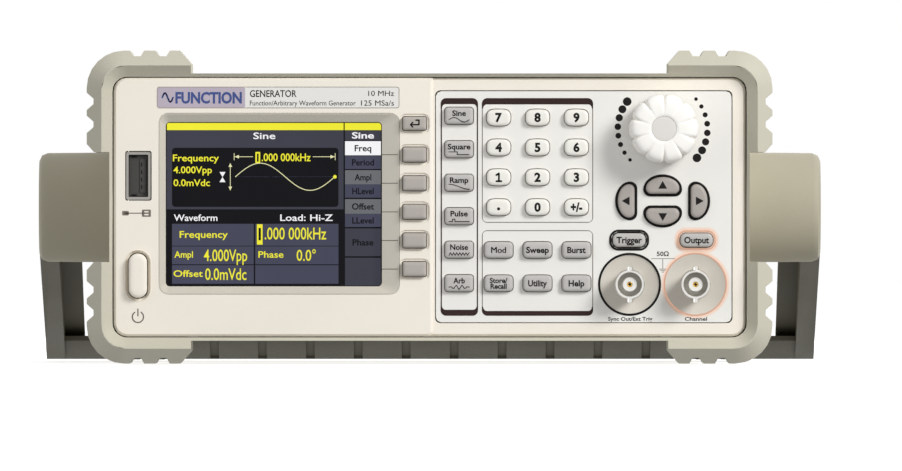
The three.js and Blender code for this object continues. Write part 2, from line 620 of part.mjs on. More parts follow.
function crossbar() {
  const reach = HUB.outer - ARM.taper - 1.4;
  const bar = sidePrism([[BAR.front, BAR.top], [BAR.front, BAR.top - 1.6], [BAR.back - 5, BAR.bottom],
    [BAR.back - 1.2, BAR.bottom], [BAR.back, BAR.bottom + 1.2], [BAR.back, BAR.top]], -reach, reach);
  const grooves = [];
  for (let i = 0; i < GRIP.count; i += 1) {
    const x = (i - (GRIP.count - 1) / 2) * GRIP.pitch;
    grooves.push(sidePrism([[BAR.front - 1, BAR.top - 1.6 + 0.4 + GRIP.depth], [BAR.front - 1, -1],
      [BAR.back - 5, -1], [BAR.back - 5, BAR.bottom + GRIP.depth]], x - GRIP.width / 2, x + GRIP.width / 2));
  }
  return cut(bar, grooves);
}

function addHandle() {
  const right = arm().add(drum(1));
  const left = right.mirror([1, 0, 0]);
  const boss = turnedAcross([[0, -HUB.outer + 3], [16.1, -HUB.outer + 3], [16.1, HUB.outer - 3],
    [0, HUB.outer - 3]], HUB.y, HUB.z, 36);
  addPart('handle', union([right, left, crossbar()]).subtract(boss), handlePlastic());
}

// ---- assembly -----------------------------------------------------------------------------

addFrontBezel();
addKeypadPanel();
addDisplay();
keys.forEach(addKey);
addPowerButton();
addKnob();
addEncoder();
addJack('bnc_sync', BNC.sync);
addJack('bnc_channel', BNC.channel);
addUsbHostPort();
addBoards();
addTopCover();
addBottomChassis();
addRearPanel();
addMainsInlet();
addUsbDevicePort();
addBoots();
addHub('left_hub', -1);
addHub('right_hub', 1);
addHandle();

export default group;
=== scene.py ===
"""Bench function generator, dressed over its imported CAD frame.

Lengths are in millimetres until place() turns them into metres. Depth is measured from the front face of
the display slab, width from the middle of the case, and height from the undersides of the rubber boots.
"""

import json
import logging
import math
from dataclasses import dataclass, field, replace
from enum import Enum
from typing import Callable, Optional, Sequence

import bmesh
import bpy
from mathutils import Matrix, Vector

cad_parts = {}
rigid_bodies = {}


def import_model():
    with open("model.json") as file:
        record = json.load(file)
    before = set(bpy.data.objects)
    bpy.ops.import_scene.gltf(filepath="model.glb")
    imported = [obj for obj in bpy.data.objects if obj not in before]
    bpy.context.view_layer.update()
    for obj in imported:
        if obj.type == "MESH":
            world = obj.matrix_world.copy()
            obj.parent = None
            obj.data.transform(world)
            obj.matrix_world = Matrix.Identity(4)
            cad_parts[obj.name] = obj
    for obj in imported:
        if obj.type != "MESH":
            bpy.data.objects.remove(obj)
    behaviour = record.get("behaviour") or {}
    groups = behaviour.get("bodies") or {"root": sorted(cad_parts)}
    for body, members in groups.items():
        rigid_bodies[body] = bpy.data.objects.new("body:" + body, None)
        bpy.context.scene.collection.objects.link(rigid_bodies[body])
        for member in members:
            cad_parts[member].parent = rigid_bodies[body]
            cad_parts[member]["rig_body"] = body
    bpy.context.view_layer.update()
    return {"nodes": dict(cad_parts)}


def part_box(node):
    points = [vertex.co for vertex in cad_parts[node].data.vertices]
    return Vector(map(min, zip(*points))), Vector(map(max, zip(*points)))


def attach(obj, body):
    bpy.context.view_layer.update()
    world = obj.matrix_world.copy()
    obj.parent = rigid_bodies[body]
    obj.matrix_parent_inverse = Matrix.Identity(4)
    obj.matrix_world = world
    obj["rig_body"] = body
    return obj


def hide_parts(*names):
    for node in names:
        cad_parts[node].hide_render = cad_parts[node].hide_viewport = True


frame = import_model()

LOG = logging.getLogger("function_generator")
MM = 0.001
SLAB_FRONT = -127.5
PANEL_FRONT = 1.5
BODY = "instrument"
PANEL_SLOTS = {"bezel": "ivory_plastic", "panel": "panel_plastic"}
Point = tuple[float, float]
Colour = tuple[float, float, float]
Mesh = bmesh.types.BMesh
Tree = bpy.types.NodeTree
Socket = bpy.types.NodeSocket
UNLIT = (0.012, 0.012, 0.014, 1.0)
WHITE_LIGHT = (1.0, 1.0, 1.0, 1.0)
BUMP_DEPTH = 0.25
PATCH_SCALE = 28.0
NOISE_ROUGHNESS = 0.55
GLOSS_SWING = 0.07
SAME_CORNER = 2e-6
SAME_SPOT = 1e-6
CLOSED_SPOT = 1e-7
HINGE_Z = 52.35
CAPITAL = 0.682


# ---- finishes ------------------------------------------------------------------------------


def linear(colour: Sequence[float]) -> tuple[float, float, float, float]:
    """Turn a 0-255 screen colour into a linear one.

    Args:
        colour: Red, green and blue as a painter's chart gives them.

    Returns:
        The linear colour with full alpha.
    """
    values = [c / 255.0 for c in colour]
    mixed = [v / 12.92 if v <= 0.04045 else ((v + 0.055) / 1.055) ** 2.4 for v in values]
    return (mixed[0], mixed[1], mixed[2], 1.0)


def feed(tree: Tree, node: bpy.types.Node, fed: dict[str | int, object]) -> None:
    """Set a node's inputs, or join them to other nodes.

    Args:
        tree: The nodes it belongs to.
        node: The node.
        fed: For each input, a plain value or the socket that drives it.
    """
    for key, value in fed.items():
        if isinstance(value, Socket):
            tree.links.new(value, node.inputs[key])
        else:
            node.inputs[key].default_value = value


def add_node(tree: Tree, kind: str, fed: dict[str | int, object], **settings: str) -> bpy.types.Node:
    """Add a node to a material or to the surround.

    Args:
        tree: The nodes to add to.
        kind: Its type, without the leading words.
        fed: Its inputs, as feed() takes them.
        **settings: Its other settings, which are made first.

    Returns:
        The new node.
    """
    made = tree.nodes.new(f"ShaderNode{kind}")
    for name, value in settings.items():
        setattr(made, name, value)
    feed(tree, made, fed)
    return made


def spread(tree: Tree, value: Socket, low: float, high: float, to_low: float = 0.0,
           to_high: float = 1.0, ease: str = "LINEAR") -> Socket:
    """Stretch one range of a value onto another.

    Args:
        tree: The nodes to add to.
        value: The value.
        low: Start of its range.
        high: End of its range.
        to_low: What the start becomes.
        to_high: What the end becomes.
        ease: How it moves from one to the other.

    Returns:
        The stretched value.
    """
    fed = {"Value": value, "From Min": low, "From Max": high, "To Min": to_low, "To Max": to_high}
    return add_node(tree, "MapRange", fed, interpolation_type=ease).outputs["Result"]


@dataclass(frozen=True)
class Finish:
    """A surface finish, mixed from noise on the piece's own coordinates.

    Attributes:
        name: What the finish is called.
        colour: Its colour on a 0-255 chart.
        roughness: How matt it is.
        metallic: One for bare metal.
        grain: Size of the surface texture in millimetres.
        relief: Strength of that texture.
        mottle: How far the colour wanders.
        coat: Weight of a clear coat.
        glow: Strength of its own light.
        stretch: How the grain is drawn out along each axis.
        shine: Strength of its plain reflection.
    """

    name: str
    colour: Colour
    roughness: float = 0.5
    metallic: float = 0.0
    grain: float = 0.5
    relief: float = 0.1
    mottle: float = 0.05
    coat: float = 0.0
    glow: float = 0.0
    stretch: tuple[float, float, float] = (1.0, 1.0, 1.0)
    shine: float = 0.35

    def material(self) -> bpy.types.Material:
        """Give the Blender material for this finish, making it once."""
        found = bpy.data.materials.get(f"finish_{self.name}")
        return found if found else self._make()

    def _make(self) -> bpy.types.Material:
        """Build the node material.

        Returns:
            The new material.
        """
        made = bpy.data.materials.new(f"finish_{self.name}")
        made.use_nodes = True
        tree = made.node_tree
        fine, broad = self._noises(tree)
        tint = self.paint(tree, self._tint(tree, fine, broad))
        depth = self.grain * MM * BUMP_DEPTH
        bump = add_node(tree, "Bump", {"Strength": self.relief, "Distance": depth, "Height": fine})
        surface = {"Metallic": self.metallic, "Coat Weight": self.coat, "Specular IOR Level": self.shine,
                   "Roughness": self._gloss(tree, fine, broad), "Normal": bump.outputs["Normal"]}
        if self.glow > 0:
            surface |= {"Base Color": UNLIT, "Emission Strength": self.glow, "Emission Color": tint}
        else:
            surface["Base Color"] = tint
        feed(tree, tree.nodes["Principled BSDF"], surface)
        return made

    def _noises(self, tree: Tree) -> tuple[Socket, Socket]:
        """Add the fine grain and the broad patches.

        Args:
            tree: The material's nodes.

        Returns:
            The fine noise and the broad noise.
        """
        where = add_node(tree, "TexCoord", {}).outputs["Object"]
        mapping = add_node(tree, "Mapping", {"Vector": where, "Scale": self.stretch})
        made = []
        for scale, detail in ((1.0 / (self.grain * MM), 3.0), (PATCH_SCALE, 4.0)):
            fed = {"Vector": mapping.outputs["Vector"], "Scale": scale, "Detail": detail,
                   "Roughness": NOISE_ROUGHNESS}
            made.append(add_node(tree, "TexNoise", fed).outputs["Fac"])
        return made[0], made[1]

    def _tint(self, tree: Tree, fine: Socket, broad: Socket) -> Socket:
        """Wander the colour in broad patches and fine specks.

        Args:
            tree: The material's nodes.
            fine: The grain noise.
            broad: The patch noise.

        Returns:
            The socket that carries the colour.
        """
        red, green, blue, _ = linear(self.colour)
        shades = []
        for change in (-self.mottle, self.mottle):
            lift = 1.0 + change
            shades.append((min(red * lift, 1.0), min(green * lift, 1.0),
                           min(blue * (lift + 0.3 * change), 1.0), 1.0))
        patches = spread(tree, broad, 0.32, 0.68)
        specks = spread(tree, fine, 0.25, 0.75)
        both = add_node(tree, "Mix", {"Factor": 0.35, "A": patches, "B": specks}).outputs["Result"]
        mix = add_node(tree, "Mix", {6: shades[0], 7: shades[1], "Factor": both}, data_type="RGBA")
        return mix.outputs[2]

    def paint(self, tree: Tree, tint: Socket) -> Socket:
        """Let a special finish lay more over the plain tint."""
        return tint

    def _gloss(self, tree: Tree, fine: Socket, broad: Socket) -> Socket:
        """Make the gloss uneven, as handled and moulded surfaces are.

        Args:
            tree: The material's nodes.
            fine: The grain noise.
            broad: The patch noise.

        Returns:
            The socket that carries the roughness.
        """
        blend = add_node(tree, "Mix", {"Factor": 0.5, "A": broad, "B": fine}).outputs["Result"]
        return spread(tree, blend, 0.35, 0.65, max(self.roughness - GLOSS_SWING, 0.03),
                      min(self.roughness + GLOSS_SWING, 1.0))


@dataclass(frozen=True)
class Halo:
    """A painted glow on the panel round a lamp, its light laid into the plastic's colour: a rounded box that
    fades outward.

    Attributes:
        x: Centre across.
        z: Centre height.
        half_x: Half width of the core.
        half_z: Half height of the core.
        start: Distance from the core where the glow is full.
        end: Distance where it has gone.
    """

    x: float
    z: float
    half_x: float
    half_z: float
    start: float
    end: float


@dataclass(frozen=True)
class PanelFinish(Finish):
    """The keypad plate's plastic, with painted glow from its lamps laid into its colour.

    Attributes:
        halos: The painted glows.
        halo_colour: Their colour.
    """

    halos: tuple[Halo, ...] = ()
    halo_colour: Colour = (244, 206, 182)

    def paint(self, tree: Tree, tint: Socket) -> Socket:
        """Paint each lamp's glow into the plain colour.

        Args:
            tree: The material's nodes.
            tint: The plain colour.

        Returns:
            The colour with its glows.
        """
        for halo in self.halos:
            tint = self._glow(tree, tint, halo)
        return tint

    def _glow(self, tree: Tree, tint: Socket, halo: Halo) -> Socket:
        """Paint one lamp's glow into a colour.

        Args:
            tree: The material's nodes.
            tint: The colour under it.
            halo: The glow.

        Returns:
            The mixed colour.
        """
        vector = add_node(tree, "TexCoord", {}).outputs["Object"]
        steps = (
            ("SUBTRACT", {1: (halo.x * MM, 0.0, halo.z * MM)}),
            ("MULTIPLY", {1: (1.0, 0.0, 1.0)}),
            ("ABSOLUTE", {}),
            ("SUBTRACT", {1: (halo.half_x * MM, 0.0, halo.half_z * MM)}),
            ("MAXIMUM", {1: (0.0, 0.0, 0.0)}),
            ("LENGTH", {}),
        )
        for operation, fed in steps:
            maths = add_node(tree, "VectorMath", {0: vector} | fed, operation=operation)
            vector = maths.outputs["Value" if operation == "LENGTH" else "Vector"]
        # painted light: the plastic's colour turns towards the glow's tint near the lamp, standing in for the
        # lamp's light on the panel
        fade = spread(tree, vector, halo.start * MM, halo.end * MM, 0.85, 0.0, "SMOOTHERSTEP")
        fed = {6: tint, 7: linear(self.halo_colour), "Factor": fade}
        return add_node(tree, "Mix", fed, data_type="RGBA").outputs[2]


def ink(name: str, colour: Colour, mottle: float, roughness: float = 0.6) -> Finish:
    """Mix a matt ink for print."""
    return Finish(f"{name}_ink", colour, roughness, grain=0.15, relief=0.08, mottle=mottle, shine=0.1)


def lit(name: str, colour: Colour, mottle: float, glow: float = 1.0, shine: float = 0.03) -> Finish:
    """Mix a colour that glows on the display."""
    return Finish(f"lit_{name}", colour, 0.25, grain=0.3, relief=0.0, mottle=mottle, glow=glow, shine=shine)


BNC_Z = 26.5
SYNC_X = 66.9
CHANNEL_X = 88.9
OUTPUT_X = 89.3
OUTPUT_Z = 41.3

IVORY = Finish("ivory_moulding", (243, 236, 223), roughness=0.5, grain=0.55, relief=0.16, mottle=0.025)
# The plate's colour carries painted glow round the channel jack's lamp ring and the output key's lamp.
PANEL = PanelFinish("keypad_plate", (238, 236, 230), roughness=0.42, grain=0.3, relief=0.08, mottle=0.012,
                    halos=(Halo(CHANNEL_X, BNC_Z, 0, 0, 10.5, 12.1),
                           Halo(OUTPUT_X, OUTPUT_Z, 3.65, 0.5, 2.9, 4.3)))
SHEET = Finish("painted_case", (222, 217, 203), roughness=0.55, grain=0.8, relief=0.3, mottle=0.03)
KEY_WHITE = Finish("white_key", (240, 238, 229), roughness=0.4, grain=0.25, relief=0.08, mottle=0.015)
KEY_GREY = Finish("grey_key", (190, 187, 183), roughness=0.45, grain=0.25, relief=0.1, mottle=0.025)
KEY_TAUPE = Finish("soft_key", (177, 171, 163), roughness=0.45, grain=0.25, relief=0.1, mottle=0.025)
KEY_DUSK = Finish("arrow_key", (171, 164, 158), roughness=0.45, grain=0.25, relief=0.1, mottle=0.025)
KNOB_WHITE = Finish("knob_white", (253, 250, 244), roughness=0.42, grain=0.3, relief=0.06, mottle=0.012)
KNOB_DISC = Finish("knob_disc", (226, 222, 216), roughness=0.35, grain=0.2, relief=0.08, mottle=0.015)
BOOT = Finish("boot_rubber", (198, 194, 177), roughness=0.68, grain=0.6, relief=0.28, mottle=0.04,
              shine=0.2)
HUB = Finish("handle_rubber", (180, 174, 154), roughness=0.66, grain=0.6, relief=0.26, mottle=0.04,
             shine=0.2)
# painted shade: a darker copy of the handle's colour for the arms and grip bar, standing in for the shade
# they lie in
SHADED_ARM = Finish("handle_plastic", (97, 94, 80), roughness=0.6, grain=0.6, relief=0.26, mottle=0.05,
             shine=0.15)
NICKEL = Finish("bright_nickel", (226, 224, 218), roughness=0.2, metallic=1.0, grain=0.4, relief=0.05,
                mottle=0.04, stretch=(1.0, 0.15, 1.0))
STEEL = Finish("screw_steel", (176, 174, 168), roughness=0.3, metallic=1.0, grain=0.3, relief=0.1,
               mottle=0.07)
GOLD = Finish("contact_gold", (226, 190, 104), roughness=0.25, metallic=1.0, grain=0.2, relief=0.05,
              mottle=0.05)
INSULATOR = Finish("white_insulator", (238, 236, 230), roughness=0.4, grain=0.3, relief=0.05, mottle=0.02)
# painted shade: the dish takes a greyer copy of the plate's plastic, standing in for the shade in its recess
SHADED_DISH = Finish("dish_silver", (212, 206, 196), roughness=0.36, grain=0.4, relief=0.08, mottle=0.03)
BLACK = Finish("black_plastic", (34, 33, 32), roughness=0.5, grain=0.35, relief=0.18, mottle=0.1)
PORT_STEEL = Finish("port_steel", (158, 155, 149), roughness=0.34, metallic=1.0, grain=0.4, relief=0.05,
                    mottle=0.05)
PORT_GREY = Finish("port_plastic", (72, 71, 68), roughness=0.5, grain=0.35, relief=0.18, mottle=0.08,
                   shine=0.15)
RIM = Finish("black_rim", (26, 24, 24), roughness=0.5, grain=0.3, relief=0.12, mottle=0.1, shine=0.1)
GREEN = Finish("circuit_board", (38, 92, 58), roughness=0.4, grain=0.3, relief=0.15, mottle=0.12, coat=0.3)
TIN = Finish("plated_tin", (186, 186, 182), roughness=0.35, metallic=0.9, grain=0.5, relief=0.12,
             mottle=0.06)
GLASS = Finish("display_glass", (22, 24, 30), roughness=0.12, grain=0.6, relief=0.02, mottle=0.05, coat=0.5)
# painted shade: the slope round the display is a darker copy of the bezel's ivory, standing in for the shade
# in its recess
SHADED_HOOD = Finish("screen_frame", (206, 200, 187), roughness=0.5, grain=0.5, relief=0.16, mottle=0.02, shine=0.2)
INK = ink("black", (30, 27, 27), 0.12)
BROWN_INK = ink("brown", (52, 38, 36), 0.1, roughness=0.55)
GREY_INK = ink("grey", (120, 114, 106), 0.06)
PALE_INK = ink("pale", (186, 180, 170), 0.04)
BADGE = Finish("badge_lilac", (186, 176, 188), roughness=0.35, grain=0.2, relief=0.06, mottle=0.05)
BADGE_PALE = Finish("badge_pale", (233, 231, 226), roughness=0.4, grain=0.2, relief=0.06, mottle=0.015)
BADGE_BLUE = Finish("badge_blue", (58, 76, 132), roughness=0.4, grain=0.2, relief=0.06, mottle=0.08)
LAMP_ORANGE = Finish("lamp_orange", (232, 178, 148), roughness=0.5, grain=0.2, relief=0.04, mottle=0.04,
                     glow=0.8)
LIT_YELLOW = lit("yellow", (240, 234, 52), 0.03)
LIT_PALE = lit("pale", (232, 230, 178), 0.03)
LIT_SLATE = lit("slate", (66, 68, 86), 0.08)
LIT_DUSK = lit("dusk", (58, 59, 70), 0.08)
LIT_GREY = lit("grey", (104, 106, 110), 0.05)
LIT_WHITE = lit("white", (244, 244, 246), 0.02)
LIT_BLACK = lit("black", (8, 8, 12), 0.2, glow=0.3, shine=0.0)


# ---- bench tools ---------------------------------------------------------------------------


def place(x: float, y: float, z: float) -> Vector:
    """Turn a place in millimetres into the shared frame's metres."""
    return Vector((x, y + SLAB_FRONT, z)) * MM


def size_of(node: str) -> tuple[Vector, Vector]:
    """Give a CAD node's lowest and highest corners in this file's millimetres.

    Args:
        node: The CAD node's name.

    Returns:
        The two corners.
    """
    shift = Vector((0.0, SLAB_FRONT, 0.0))
    low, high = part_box(node)
    return low / MM - shift, high / MM - shift


def body_of(node: str) -> str:
    """Give the body that a CAD node rides on."""
    return str(frame["nodes"][node]["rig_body"])


def new_piece(name: str, bm: Mesh, finish: Finish, body: str,
              stands_for: Sequence[str] = (), crease: float = 38.0) -> bpy.types.Object:
    """Turn a finished bmesh into a piece of the object.

    Args:
        name: The piece's name.
        bm: Its shape, which is used up.
        finish: Its finish.
        body: The CAD body it rides on.
        stands_for: CAD nodes it replaces.
        crease: Edges bent by more than this many degrees stay sharp.

    Returns:
        The new object.
    """
    mesh = bpy.data.meshes.new(name)
    bm.to_mesh(mesh)
    bm.free()
    mesh.shade_smooth()
    mesh.set_sharp_from_angle(angle=math.radians(crease))
    mesh.materials.append(finish.material())
    piece = bpy.data.objects.new(name, mesh)
    bpy.context.scene.collection.objects.link(piece)
    weighted = piece.modifiers.new("even_shading", "WEIGHTED_NORMAL")
    weighted.keep_sharp = True
    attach(piece, body)
    if stands_for:
        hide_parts(*stands_for)
    LOG.info("%s on %s: %d faces, %s", name, body, len(mesh.polygons), finish.name)
    return piece


def dress(node: str, finish: Finish) -> None:
    """Give a carried-over CAD node its finish.

    Args:
        node: The CAD node's name.
        finish: Its finish.
    """
    owner = frame["nodes"][node]
    for slot in owner.material_slots:
        slot.material = finish.material()
    if not owner.material_slots:
        owner.data.materials.append(finish.material())
    LOG.info("%s keeps its CAD shape, %s", node, finish.name)


def softened(node: str, width: float, segments: int = 2, angle: float = 40.0,
             across: Sequence[float] = (), level: Sequence[float] = ()) -> Mesh:
    """Copy a CAD node and round its hard edges.

    Args:
        node: The CAD node's name.
        width: Width of the rounding.
        segments: Steps in the rounding.
        angle: Edges bent by more than this many degrees are rounded.
        across: Places across where faces stay divided, one through every hole.
        level: Heights where faces stay divided, one through every hole that no other cut meets.

    Returns:
        The rounded copy.
    """
    bm = bmesh.new()
    bm.from_mesh(frame["nodes"][node].data)
    bmesh.ops.remove_doubles(bm, verts=bm.verts, dist=SAME_CORNER)
    cuts = [(place(x, 0.0, 0.0), (1.0, 0.0, 0.0)) for x in across]
    cuts += [(place(0.0, 0.0, z), (0.0, 0.0, 1.0)) for z in level]
    for spot, normal in cuts:
        made = bmesh.ops.bisect_plane(bm, geom=bm.verts[:] + bm.edges[:] + bm.faces[:], dist=SAME_SPOT,
                                      plane_co=spot, plane_no=normal)["geom_cut"]
        for item in made:
            if isinstance(item, bmesh.types.BMEdge):
                item.seam = True
    bmesh.ops.dissolve_limit(bm, angle_limit=math.radians(0.6), use_dissolve_boundaries=False,
                             verts=bm.verts, edges=bm.edges, delimit={"SEAM"})
    hard = [e for e in bm.edges
            if len(e.link_faces) == 2 and abs(e.calc_face_angle_signed()) > math.radians(angle)]
    bmesh.ops.bevel(bm, geom=hard, offset=width * MM, offset_type="OFFSET", segments=segments, profile=0.5,
                    affect="EDGES", clamp_overlap=True, loop_slide=True, material=-1)
    return bm


def quarter_turned(points: Sequence[Point], turns: int) -> list[Point]:
    """Turn places about the origin, anticlockwise by quarter turns.

    Args:
        points: Places as x and z.
        turns: How many quarter turns.

    Returns:
        The turned places.
    """
    cosine, sine = round(math.cos(turns * math.pi / 2)), round(math.sin(turns * math.pi / 2))
    return [(a * cosine - b * sine, a * sine + b * cosine) for a, b in points]


@dataclass(frozen=True)
class Outline:
    """An upright rounded rectangle whose top and bottom may bulge.

    Attributes:
        x: Centre across.
        z: Centre height.
        width: Full width.
        height: Full height at the middle.
        radius: Corner radius.
        bulge: How far top and bottom arch out.
        steps: Steps in each corner.
    """

    x: float
    z: float
    width: float
    height: float
    radius: float
    bulge: float = 0.0
    steps: int = 6

    def grown(self, margin: float) -> "Outline":
        """Give the outline that lies this far outside."""
        return replace(self, width=self.width + 2 * margin, height=self.height + 2 * margin,
                       radius=max(self.radius + margin, 0.05))

    def count(self) -> int:
        """Give the number of points round the outline."""
        return 4 * (self.steps + 4)

    def points(self) -> list[Point]:
        """Walk round the outline from its right side.

        Returns:
            Places as x and z.
        """
        straight = self.height - 2 * self.bulge
        radius = min(self.radius, self.width / 2 - 0.01, straight / 2 - 0.01)
        walk: list[Point] = []
        for quarter in range(4):
            half, other = self.width / 2, straight / 2
            if quarter % 2:
                half, other = other, half
            corner = [(half, 0.0), (half, (other - radius) / 2)]
            for step in range(self.steps + 1):
                angle = math.pi / 2 * step / self.steps
                corner.append((half - radius + radius * math.cos(angle),
                               other - radius + radius * math.sin(angle)))
            corner.append(((half - radius) / 2, other))
            walk += quarter_turned(corner, quarter)
        arched = []
        for a, b in walk:
            lift = self.bulge * (1 - (2 * a / self.width) ** 2) * (2 * b / straight)
            arched.append((self.x + a, self.z + b + lift))
        return arched


def loft(bm: Mesh, rings: Sequence[tuple["Outline | Dome", float]],
         closed: bool = False) -> None:
    """Draw one outline out into the next, and on, as one skin.

    Args:
        bm: The mesh to add to.
        rings: Outlines with their depths, in order.
        closed: Join the last outline to the first; otherwise both ends are filled.
    """
    part = bmesh.new()
    ring = bmesh.ops.create_circle(part, cap_ends=False, segments=rings[0][0].count(), radius=1.0)["verts"]
    lay(ring, rings[0])
    first = ring
    for step in list(rings[1:]) + ([rings[0]] if closed else []):
        edges = [part.edges.get(pair) for pair in zip(ring, ring[1:] + ring[:1])]
        grown = bmesh.ops.extrude_edge_only(part, edges=edges)["geom"]
        fresh = {item for item in grown if isinstance(item, bmesh.types.BMVert)}
        ring = [next(edge.other_vert(vert) for edge in vert.link_edges if edge.other_vert(vert) in fresh)
                for vert in ring]
        lay(ring, step)
    if closed:
        bmesh.ops.remove_doubles(part, verts=first + ring, dist=CLOSED_SPOT)
    else:
        for end in (first, ring):
            loop = [part.edges.get(pair) for pair in zip(end, end[1:] + end[:1])]
            bmesh.ops.contextual_create(part, geom=loop)
    bmesh.ops.recalc_face_normals(part, faces=part.faces)
    join(bm, part)


def lay(ring: Sequence[bmesh.types.BMVert], step: tuple["Outline | Dome", float]) -> None:
    """Move a ring of corners onto an outline at its depth."""
    for vert, (x, z) in zip(ring, step[0].points()):
        vert.co = place(x, step[1], z)


def turn(bm: Mesh, profile: Sequence[Point], x: float, z: float, steps: int = 64,
         closed: bool = True) -> None:
    """Spin a radius-and-depth profile round an axis that runs front to back.

    Args:
        bm: The mesh to add to.
        profile: Radius and depth of each corner.
        x: The axis's place across.
        z: The axis's height.
        steps: Steps round.
        closed: Join the last corner to the first, for a ring; open profiles end on the axis.
    """
    part = bmesh.new()
    corners = [place(x + radius, depth, z) for radius, depth in profile]
    spin_round(part, corners, place(x, 0.0, z), (0.0, 1.0, 0.0), steps, closed)
    join(bm, part)


def spin_round(part: Mesh, corners: Sequence[Vector], centre: Vector, axis: Sequence[float], steps: int,
               closed: bool) -> None:
    """Spin a line of corners all the way round an axis.

    Args:
        part: The empty mesh to spin in.
        corners: The corners in metres.
        centre: A place on the axis in metres.
        axis: The axis's direction.
        steps: Steps round.
        closed: Join the last corner to the first before spinning.
    """
    verts = [part.verts.new(corner) for corner in corners]
    edges = [part.edges.new(pair) for pair in zip(verts, verts[1:])]
    if closed:
        edges.append(part.edges.new((verts[-1], verts[0])))
    bmesh.ops.spin(part, geom=verts + edges, cent=centre, axis=axis, angle=2 * math.pi, steps=steps,
                   use_merge=True, use_duplicate=False)
    bmesh.ops.remove_doubles(part, verts=part.verts, dist=SAME_SPOT)
    bmesh.ops.recalc_face_normals(part, faces=part.faces)


def join(bm: Mesh, part: Mesh) -> None:
    """Add one mesh to another and free it.

    Args:
        bm: The mesh to add to.
        part: The mesh to add, which is used up.
    """
    carrier = bpy.data.meshes.new("carrier")
    part.to_mesh(carrier)
    part.free()
    bm.from_mesh(carrier)
    bpy.data.meshes.remove(carrier)


def lofted_piece(name: str, rings: Sequence[tuple["Outline | Dome", float]], finish: Finish,
                 crease: float = 38.0) -> None:
    """Build a fixed piece from outlines that close into a ring.

    Args:
        name: The piece's name.
        rings: Outlines with their depths, in order.
        finish: Its finish.
        crease: Edges bent by more than this many degrees stay sharp.
    """
    bm = bmesh.new()
    loft(bm, rings, closed=True)
    new_piece(name, bm, finish, BODY, crease=crease)


def block(bm: Mesh, x: Point, y: Point, z: Point, soft: float = 0.0,
          segments: int = 2) -> None:
    """Add a block between two corners, its edges rounded.

    Args:
        bm: The mesh to add to.
        x: Left and right.
        y: Front and back.
        z: Bottom and top.
        soft: Edge rounding.
        segments: Steps in the rounding.
    """
    part = bmesh.new()
    middle = place(sum(x) / 2, sum(y) / 2, sum(z) / 2)
    scale = Vector((x[1] - x[0], y[1] - y[0], z[1] - z[0])) * MM
    bmesh.ops.create_cube(part, size=1.0, matrix=Matrix.Translation(middle) @ Matrix.Diagonal(scale).to_4x4())
    if soft > 0:
        bmesh.ops.bevel(part, geom=part.edges[:], offset=soft * MM, offset_type="OFFSET",
                        segments=segments, profile=0.5, affect="EDGES", clamp_overlap=True, material=-1)
    join(bm, part)


def rod(bm: Mesh, start: Vector, end: Vector, radius: float, tip: Optional[float] = None,
        segments: int = 32) -> None:
    """Add a round rod or cone between two places.

    Args:
        bm: The mesh to add to.
        start: One end in metres.
        end: The other end in metres.
        radius: Radius at the start.
        tip: Radius at the end, if it differs.
        segments: Steps round.
    """
    part = bmesh.new()
    run = end - start
    aim = run.to_track_quat("Z", "Y").to_matrix().to_4x4()
    bmesh.ops.create_cone(part, cap_ends=True, segments=segments, radius1=radius * MM,
                          radius2=(radius if tip is None else tip) * MM, depth=run.length,
                          matrix=Matrix.Translation((start + end) / 2) @ aim)
    join(bm, part)


class Align(Enum):
    """Where a word sits on its place."""

    LEFT = "LEFT"
    CENTRE = "CENTER"
    RIGHT = "RIGHT"


